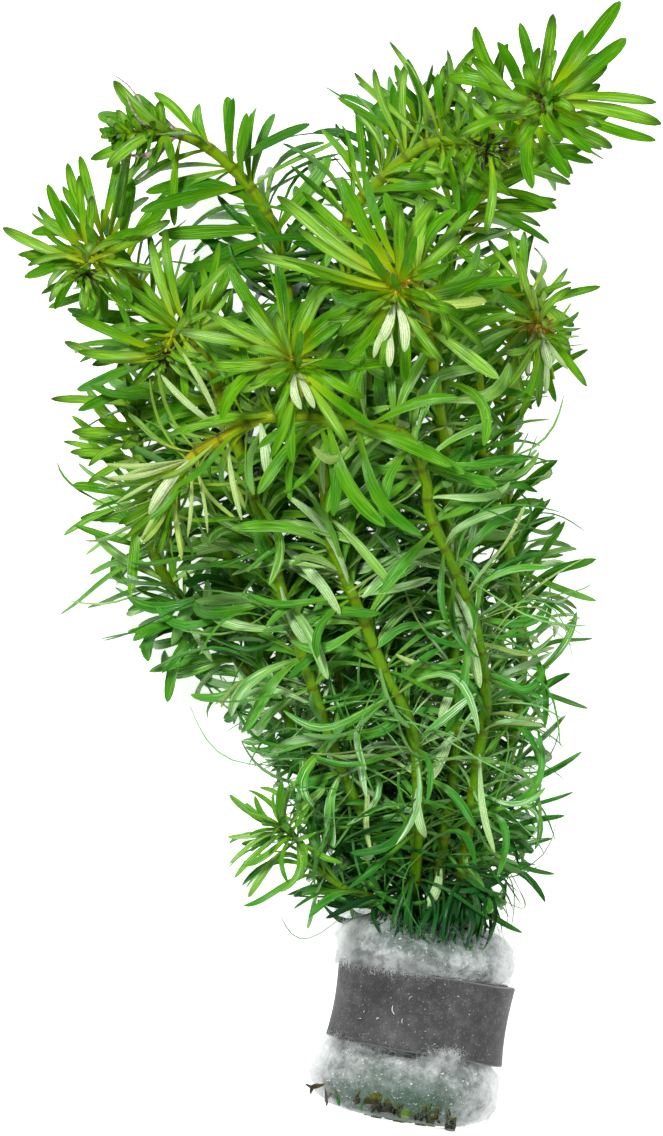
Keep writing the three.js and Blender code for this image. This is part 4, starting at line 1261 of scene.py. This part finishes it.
def upper_face(s, leaf):
    """Green by shade, with light and dark streaks, a painted silver sheen, a yellow base and a dark rim."""
    age, shade, along, streaks, tone = leaf.age, leaf.shade, leaf.along, leaf.streaks, leaf.colours
    colour = s.tint(tone["deep"], tone["bright"], shade, -0.2, 0.85)
    # Leaves of high shade turn silvery all over: partly their own pale tone, partly painted sheen
    pale = s.times(s.step(shade, 0.72, 0.9), s.step(age, 0.1, 0.8, 0.14, 0.85))
    colour = s.mix(pale, colour, tone["silvery"])
    lighter = s.times(s.step(streaks, 0.46, 0.68), s.step(shade, 0.0, 0.7, 0.2, 0.6))
    colour = s.mix(lighter, colour, tone["light"])
    colour = s.tint(colour, tone["dark"], streaks, 0.5, 0.25, 0.6)
    # Painted sheen: silver patches stand in for glossy highlights
    sheen = s.noise(s.scaled(leaf.blade, (1.3, 2.4, 90.0)), 1.4, 2.0)
    painted_sheen = s.times(s.step(sheen, 0.5, 0.64), s.step(streaks, 0.36, 0.6, 0.25, 1.0))
    painted_sheen = s.times(painted_sheen, s.step(age, 0.05, 0.75, 0.3, 1.0))
    colour = s.mix(s.times(painted_sheen, s.step(shade, 0.4, 0.76, 0.06, 1.0)), colour, tone["silver"])
    young = s.step(age, 0.3, 0.0)
    yellowed = s.maths("MULTIPLY_ADD", s.times(young, s.maths("ADD", leaf.warmth, 0.25)), 0.8, 0.15)
    colour = s.mix(s.times(s.step(along, 0.6, 0.0), yellowed), colour, (0.42, 0.54, 0.002))
    middle = s.maths("ABSOLUTE", leaf.across)
    midrib = s.times(s.step(middle, 0.2, 0.0), s.step(shade, 0.4, 0.9, 0.0, 0.35))
    colour = s.mix(midrib, colour, (0.28, 0.6, 0.03))
    rim = s.maths("MAXIMUM", s.step(middle, 0.62, 1.0, 0.0, 0.6), s.step(along, 0.76, 1.0))
    rimmed = s.step(s.times(shade, young), 0.1, 0.5, 0.0, 0.85)
    colour = s.mix(s.times(rim, rimmed), colour, (0.016, 0.075, 0.001))
    return s.tint(colour, (0.22, 0.52, 0.01), s.noise(s.where(), 110.0, 2.0), 0.5, 0.75, 0.25)


def under_face(s, leaf, upper_colour):
    """Paler than the upper face, with dotted lines. Leaves of the brightest shade are nearly white here."""
    shade, warmth, streaks = leaf.shade, leaf.warmth, leaf.streaks
    fresh = s.mix(warmth, (0.26, 0.54, 0.08), (0.42, 0.62, 0.06))
    colour = s.tint(fresh, (0.16, 0.42, 0.12), leaf.age, 0.0, 0.25)
    colour = s.tint(colour, s.mix(warmth, (0.46, 0.72, 0.4), (0.56, 0.7, 0.16)), shade, 0.5, 0.9)
    pale = s.tint((0.84, 0.9, 0.62), (0.5, 0.76, 0.4), leaf.age, 0.0, 0.3)
    pale = s.tint(pale, (0.34, 0.56, 0.16), streaks, 0.4, 0.64, 0.45)
    pale = s.tint(pale, (0.4, 0.64, 0.22), leaf.along, 0.5, 1.0, 0.55)
    colour = s.tint(s.mix(0.4, colour, upper_colour), pale, shade, 0.98, 1.0)
    dotted = s.noise(s.scaled(leaf.blade, (34.0, 3.0, 60.0)), 1.5, 1.0)
    lines = s.step(s.maths("SINE", s.times(leaf.across, 14.0)), 0.1, 0.9, 0.0, 0.8)
    line_colour = s.mix(warmth, (0.1, 0.32, 0.06), (0.26, 0.3, 0.04))
    colour = s.mix(s.times(lines, s.step(dotted, 0.35, 0.55)), colour, line_colour)
    return s.tint(colour, (0.1, 0.3, 0.05), streaks, 0.45, 0.7, 0.4)


def leaf_material():
    """Both faces, with painted shade where a leaf lies deep in the bunch, and fine veins along it."""
    s = Shader("leaf", 0.25, Specular_IOR_Level=0.1)
    leaf = LeafParts(s)
    upper = upper_face(s, leaf)
    colour = s.tint(upper, under_face(s, leaf, upper), leaf.upper, 0.55, 0.45)
    # Painted shade: leaves of low shade turn to the shaded colours, near black at the lowest
    shaded = s.tint(leaf.colours["shaded"], (0.004, 0.026, 0.012), leaf.shade, -0.24, -0.5)
    colour = s.tint(colour, shaded, leaf.shade, 0.04, -0.26, 0.85)
    grain = s.noise(s.where(), 900.0, 3.0)
    veins = s.maths("SINE", s.times(leaf.across, 22.0))
    s.bump(s.maths("MULTIPLY_ADD", veins, 0.3, grain), 0.35, 0.0002)
    return s.finish(colour, s.step(grain, 0.2, 0.8, 0.14, 0.28))


def stalk_material():
    """place is a point on the unit circle and how far along. kind is nearness to a node, age and warmth."""
    s = Shader("stalk", 0.4, Specular_IOR_Level=0.15)
    node, age, warmth = s.parts("kind")
    stripes = s.noise(s.scaled(s.vector("place"), (2.6, 2.6, 1.0)), 3.4, 2.0)
    coarse = s.noise(s.scaled(s.vector("place"), (1.1, 1.1, 0.5)), 3.4, 2.0)
    fine = s.noise(s.where(), 1400.0, 3.0)
    golden = s.times(s.step(warmth, 0.55, 1.0), s.step(age, 0.42, 0.1))
    green = s.tint((0.2, 0.37, 0.001), (0.08, 0.26, 0.001), age, 0.25, 0.9)
    green = s.mix(golden, green, (0.54, 0.52, 0.005))
    green = s.tint(green, (0.07, 0.08, 0.003), age, 0.95, 1.25)
    brown = s.mix(golden, (0.11, 0.2, 0.001), (0.4, 0.26, 0.003))
    colour = s.tint(green, brown, stripes, 0.45, 0.62, 0.5)
    colour = s.mix(s.times(s.step(coarse, 0.48, 0.6), s.step(golden, 0.0, 1.0, 0.25, 0.75)), colour, brown)
    ragged = s.maths("ADD", node, s.maths("MULTIPLY_ADD", fine, 0.9, -0.5))
    colour = s.tint(colour, (0.08, 0.07, 0.002), ragged, 0.3, 0.9, 0.75)
    colour = s.tint(colour, (0.34, 0.5, 0.02), fine, 0.5, 0.7, 0.2)
    colour = s.tint(colour, (0.012, 0.01, 0.004), node, 1.2, 1.6)
    s.bump(s.maths("ADD", stripes, s.times(fine, 0.3)), 0.5, 0.0004)
    return s.finish(colour, s.step(fine, 0.2, 0.8, 0.3, 0.5))


def bud_material():
    """kind is which of BUD_KINDS it is, a random shade, and how golden the bud is."""
    s = Shader("bud", 0.45, Specular_IOR_Level=0.3)
    along = s.parts("place")[0]
    what, shade, gold = s.parts("kind")
    grain = s.noise(s.where(), 1600.0, 3.0)
    brown = s.mix(shade, (0.022, 0.016, 0.006), (0.06, 0.085, 0.008))
    amber = s.mix(shade, (0.6, 0.3, 0.012), (0.85, 0.66, 0.06))
    colour = s.mix(gold, brown, amber)
    colour = s.tint(colour, s.mix(gold, (0.12, 0.2, 0.008), (0.8, 0.6, 0.04)), along, 0.7, 0.0, 0.7)
    colour = s.tint(colour, s.mix(gold, (0.015, 0.01, 0.005), (0.4, 0.2, 0.01)), grain, 0.5, 0.7, 0.3)
    hairs = s.tint((0.035, 0.022, 0.006), (0.5, 0.46, 0.3), shade, 0.3, 0.95)
    colour = s.tint(colour, s.mix(gold, hairs, (0.7, 0.5, 0.12)), what, 0.3, 0.6)
    dried = s.tint((0.3, 0.2, 0.19), (0.52, 0.46, 0.42), grain, 0.4, 0.65)
    colour = s.tint(colour, dried, what, 1.4, 1.6)
    s.bump(grain, 0.4, 0.0002)
    return s.finish(colour, s.step(grain, 0.2, 0.8, 0.35, 0.6))


# The colours of the wad and of its loose fibres: light, dark, and where they are damp
FLOSS_COLOURS = {
    "floss": ((0.58, 0.61, 0.6), (0.24, 0.27, 0.26), (0.035, 0.105, 0.06)),
    "floss_fibre": ((0.74, 0.76, 0.76), (0.42, 0.45, 0.44), (0.09, 0.16, 0.12)),
}


def floss_material(name):
    """place is a point on the unit circle, and how far along the holder it is, from -1 to 1."""
    s = Shader(name, 0.7, Specular_IOR_Level=0.3)
    light, dark, damp_colour = FLOSS_COLOURS[name]
    side, _, along = s.parts("place")
    side = s.maths("ABSOLUTE", side)
    cloud = s.noise(s.where(), 170.0, 5.0)
    specks = s.noise(s.where(), 620.0, 3.0)
    fine = s.noise(s.where(), 1500.0, 4.0)
    colour = s.tint(light, dark, cloud, 0.35, 0.62)
    colour = s.tint(colour, (0.1, 0.12, 0.11), specks, 0.5, 0.66, 0.5)
    colour = s.tint(colour, (0.8, 0.82, 0.82), specks, 0.46, 0.34, 0.4)
    patches = s.step(s.noise(s.where(), 70.0, 3.0), 0.26, 0.5, 0.0, 0.85)
    at_ends = s.step(s.maths("ABSOLUTE", along), 0.42, 0.8)
    damp = s.times(s.times(at_ends, s.step(side, 0.95, 0.35)), patches)
    colour = s.mix(damp, colour, damp_colour)
    # Lighter at the wad's sides: painted light that shines through the thin wool there
    colour = s.tint(colour, (0.92, 0.94, 0.94), side, 0.8, 1.0, 0.85)
    colour = s.tint(colour, (0.9, 0.92, 0.92), fine, 0.62, 0.72)
    s.bump(s.maths("ADD", cloud, fine), 0.8, 0.0006)
    return s.finish(colour, s.step(fine, 0.3, 0.7, 0.55, 0.9))


def metal_material():
    """place is round the strip, across it, and the depth below its outer face."""
    s = Shader("weight_metal", 0.6, Metallic=0.35, Specular_IOR_Level=0.3)
    across = s.parts("place")[1]
    cloud = s.noise(s.where(), 120.0, 5.0)
    mottle = s.noise(s.where(), 520.0, 4.0)
    fine = s.noise(s.where(), 2600.0, 2.0)
    scratches = s.noise(s.scaled(s.vector("place"), (60.0, 3.0, 1.0)), 3.0, 4.0)
    colour = s.tint((0.046, 0.046, 0.047), (0.07, 0.07, 0.071), cloud, 0.3, 0.7)
    colour = s.tint(colour, (0.13, 0.13, 0.13), mottle, 0.45, 0.7, 0.4)
    colour = s.tint(colour, (0.04, 0.04, 0.04), mottle, 0.5, 0.3, 0.4)
    colour = s.tint(colour, (0.25, 0.25, 0.255), scratches, 0.6, 0.8, 0.3)
    # Lighter along both edges: a painted highlight where the rounded edges catch the light
    colour = s.tint(colour, (0.36, 0.36, 0.36), s.maths("ABSOLUTE", across), 0.95, 1.0, 0.6)
    # Pale and white specks: painted glints
    colour = s.tint(colour, (0.22, 0.22, 0.22), fine, 0.55, 0.68, 0.3)
    colour = s.tint(colour, (0.5, 0.5, 0.5), fine, 0.7, 0.76)
    s.bump(s.maths("ADD", cloud, s.times(mottle, 0.5)), 0.5, 0.0003)
    return s.finish(colour, s.step(cloud, 0.3, 0.7, 0.5, 0.7))


def floor_material():
    s = Shader("pale_floor", FLOOR["roughness"], Specular_IOR_Level=0.2)
    s.surface.inputs["Emission Color"].default_value = (1.0, 1.0, 1.0, 1.0)
    s.surface.inputs["Emission Strength"].default_value = FLOOR["glow"]
    return s.finish((*FLOOR["colour"], 1.0))


def make_stage():
    """A pale floor, an even sky and two soft lights."""
    bpy.ops.mesh.primitive_plane_add(size=FLOOR["size"], location=(0, 0, -FLOOR["gap"]))
    floor = bpy.context.object
    floor.name = "pale_floor"
    floor.data.materials.append(floor_material())
    world = bpy.data.worlds.new("studio")
    world.use_nodes = True
    background = world.node_tree.nodes["Background"]
    background.inputs["Color"].default_value = (1.0, 1.0, 1.0, 1.0)
    background.inputs["Strength"].default_value = SKY
    bpy.context.scene.world = world
    for name, spot, size, power in LIGHTS:
        light = bpy.data.lights.new(name, "AREA")
        light.size = size
        light.energy = power
        lamp = bpy.data.objects.new(name, light)
        lamp.location = spot
        lamp.rotation_euler = (-Vector(spot)).to_track_quat("-Z", "Y").to_euler()
        bpy.context.scene.collection.objects.link(lamp)
    bpy.context.scene.view_settings.view_transform = "Standard"


def make_camera():
    """Looks straight down. The photo is upright, so the sensor's longer side is the frame's height."""
    lens = bpy.data.cameras.new("camera")
    lens.sensor_width = CAMERA["sensor"]
    frame_height = PHOTO["height"] * PHOTO["mm_per_pixel"] * MM
    lens.lens = CAMERA["sensor"] * (CAMERA["height"] - CAMERA["scale_plane"]) / frame_height
    camera = bpy.data.objects.new("camera", lens)
    camera.location = (0, 0, CAMERA["height"])
    bpy.context.scene.collection.objects.link(camera)
    bpy.context.scene.camera = camera


# The places of the materials on the leafy pieces
LEAF_SLOT, STALK_SLOT, BUD_SLOT = range(3)


def make_stem(name, stem, materials):
    """One stem's two pieces: its leafy stalk, and the crown at its tip."""
    look = {**PLAIN_LOOK, **LOOKS[name]}
    line = stem_line(stem)
    split = line.length - CROWN["length"]
    whorls = whorls_of(line, look)
    sets = {True: Leaves(), False: Leaves()}
    for whorl in whorls:
        whorl["leaves"] = sets[whorl["crown"]]
    for leaves, pale in ((PALE_LEAVES, True), (BROAD_LEAVES, False)):
        for start, end, width in leaves.get(name, ()):
            grow_shown(line, whorls, start, end, width, pale)
    for x, y in stem["tips"]:
        grow_to_tip(whorls, x, y)
    for whorl in whorls:
        grow_whorl(whorl)
    if name in DRAPED["stems"]:
        drape(sets[False], line)
    nodes = [whorl["station"] for whorl in whorls if not whorl["crown"]]
    for crown, (low, high) in {False: (0, split - GAP_AT_SPLIT), True: (split, line.length)}.items():
        tubes = Tubes()
        add_stalk(tubes, STALK_SLOT, line, low, high, nodes, look)
        sets[crown].add_to(tubes, LEAF_SLOT, look["warmth"])
        if crown:
            scales = bud_scales(line, look)
            for dried in DRIED.get(name, ()):
                grow_dried(scales, line, *dried)
            scales.add_to(tubes, BUD_SLOT, look["gold"])
        kind = "crown" if crown else "stem"
        tubes.piece(f"leafy_{kind}_{name}", materials, f"{kind}_leaf", f"{kind}_{name}")


# The cut stalks that show at the wad's lower rim: across and along the holder, height, length, radius, how
# aged the stalk is and how dark its end
CUT_STALKS = [
    (-5.8, -14.8, 16.2, 5.2, 1.9, 1.3, 1.5), (-2.6, -15.6, 16.6, 5.4, 1.6, 1.3, 2.1),
    (0.9, -15.8, 16.6, 5.2, 1.2, 0.85, 0.7), (3.8, -16.2, 16.2, 5.2, 0.9, 1.3, 1.9),
    (6.2, -16.6, 15.6, 5.0, 0.9, 1.2, 1.5), (10.4, -17.6, 12.4, 4.6, 1.1, 1.3, 1.8),
]
STUB = {
    "rooted": 2.5, "sunk": 3.0, "bend": 0.2, "rings": 9, "swelling": 0.08, "waves": 2.1, "dark": (3.6, 1),
    "stripes": 0.1,
}
# Leaf ends there: across and along the holder, height, then how far each reaches across, along and up, and
# its width
CUT_LEAVES = [
    (-15.8, -17.6, 8.0, -4.0, -0.6, 0.2, 0.7), (-15.8, -17.8, 8.2, -2.6, -2.2, 0.4, 0.8),
    (-15.6, -17.8, 8.6, 0.8, -4.0, 0.0, 0.9), (-14.0, -17.2, 11.0, 1.8, -4.1, 0.2, 0.8),
    (-14.8, -17.6, 9.8, -0.6, -3.2, 0.4, 0.8), (-15.2, -17.2, 9.4, -2.8, -1.4, 1.2, 0.6),
    (-8.4, -16.2, 15.2, -1.4, -3.6, -0.4, 1.2), (-7.6, -17.0, 15.4, 0.6, -3.4, -0.6, 1.0),
    (-0.8, -17.2, 16.2, 0.4, -3.6, -0.6, 0.9), (2.4, -17.4, 16.0, 0.2, -3.2, -0.6, 0.8),
]
# More of them, in a row round the rim
SHREDS = {
    "count": 22, "farthest": 9.5, "along": -17.0, "radius": 17.4, "aside": 0.6, "down": (2.8, 4.6),
    "rise": -0.8, "width": 0.8,
}
# How the leaf ends vary, every how many of them is green, and how golden the brown ones are
CUT_FORM = {
    "bow": 0.2, "hook": 0.24, "fold": 0.6, "sway": 0.16, "turn": 0.4, "twist": 0.6, "shade": (-0.4, 0.05),
}
GREEN_EVERY = 4
BROWN_GOLD = 0.03


def cut_stalk(tubes, across, along, height, length, radius, age, end_dark):
    """The end of a stalk that comes out of the wad, with its last stretch blackened."""
    start = holder_point(across, along + STUB["rooted"], height - STUB["sunk"])
    end = holder_point(across, along - length, height)
    stub = Centreline(np.array([start, between(start, end, 0.5) + UP * STUB["bend"], end]))
    stations = np.linspace(0, stub.length, STUB["rings"])
    points, tangents, normals = stub.at(stations)
    angles = turn_of(STALK["sides"])
    swell = radius * (1 + STUB["swelling"] * np.sin(stations * STUB["waves"]))[:, None]
    corners = round_section(points, normals, np.cross(tangents, normals), swell, angles)
    place = stacked(np.cos(angles), np.sin(angles), stations[:, None] * STUB["stripes"])
    before, after = STUB["dark"]
    dark = end_dark * smooth(stations, stub.length - before, stub.length - after)[:, None]
    tubes.add(corners[None], STALK_SLOT, place, stacked(dark, age, 0.0))


def shreds():
    """Rows like those of CUT_LEAVES."""
    for across in np.linspace(-SHREDS["farthest"], SHREDS["farthest"], SHREDS["count"]):
        height = math.sqrt(SHREDS["radius"] ** 2 - across**2)
        aside = rng.normal(0, SHREDS["aside"])
        ahead = -rng.uniform(*SHREDS["down"])
        yield across, SHREDS["along"], height, aside, ahead, SHREDS["rise"], SHREDS["width"]


def cut_ends():
    """Short ends of stalks and leaves that poke out of the wad's lower rim."""
    tubes = Tubes()
    for row in CUT_STALKS:
        cut_stalk(tubes, *row)
    green, brown = Leaves(), Leaves()
    for i, (across, along, height, aside, ahead, rise, width) in enumerate([*CUT_LEAVES, *shreds()]):
        base = holder_point(across, along, height)
        form = {key: rng.normal(0, CUT_FORM[key]) for key in ("sway", "turn", "twist")}
        form.update({key: CUT_FORM[key] for key in ("bow", "hook", "fold")})
        form.update(width=width, shade=rng.uniform(*CUT_FORM["shade"]))
        leaves, form["age"] = (green, 1.0) if i % GREEN_EVERY == GREEN_EVERY - 1 else (brown, 0.0)
        leaves.add(base, base + ACROSS * aside + ALONG * ahead + UP * rise, UP, **form)
    green.add_to(tubes, LEAF_SLOT, 0.0)
    brown.add_to(tubes, BUD_SLOT, BROWN_GOLD)
    return tubes


make_camera()
make_stage()
LEAFY = [leaf_material(), stalk_material(), bud_material()]
for name, stem in STEMS.items():
    make_stem(name, stem, LEAFY)
cut_ends().piece("cut_ends", LEAFY, "stem_leaf")
floss_core().piece("floss_core", [floss_material("floss")], "floss", "floss_wad")
floss_threads().piece("floss_fibres", [floss_material("floss_fibre")], "floss")
strip_tubes().piece("lapped_weight_strip", [metal_material()], "weight_metal", "weight_strip")
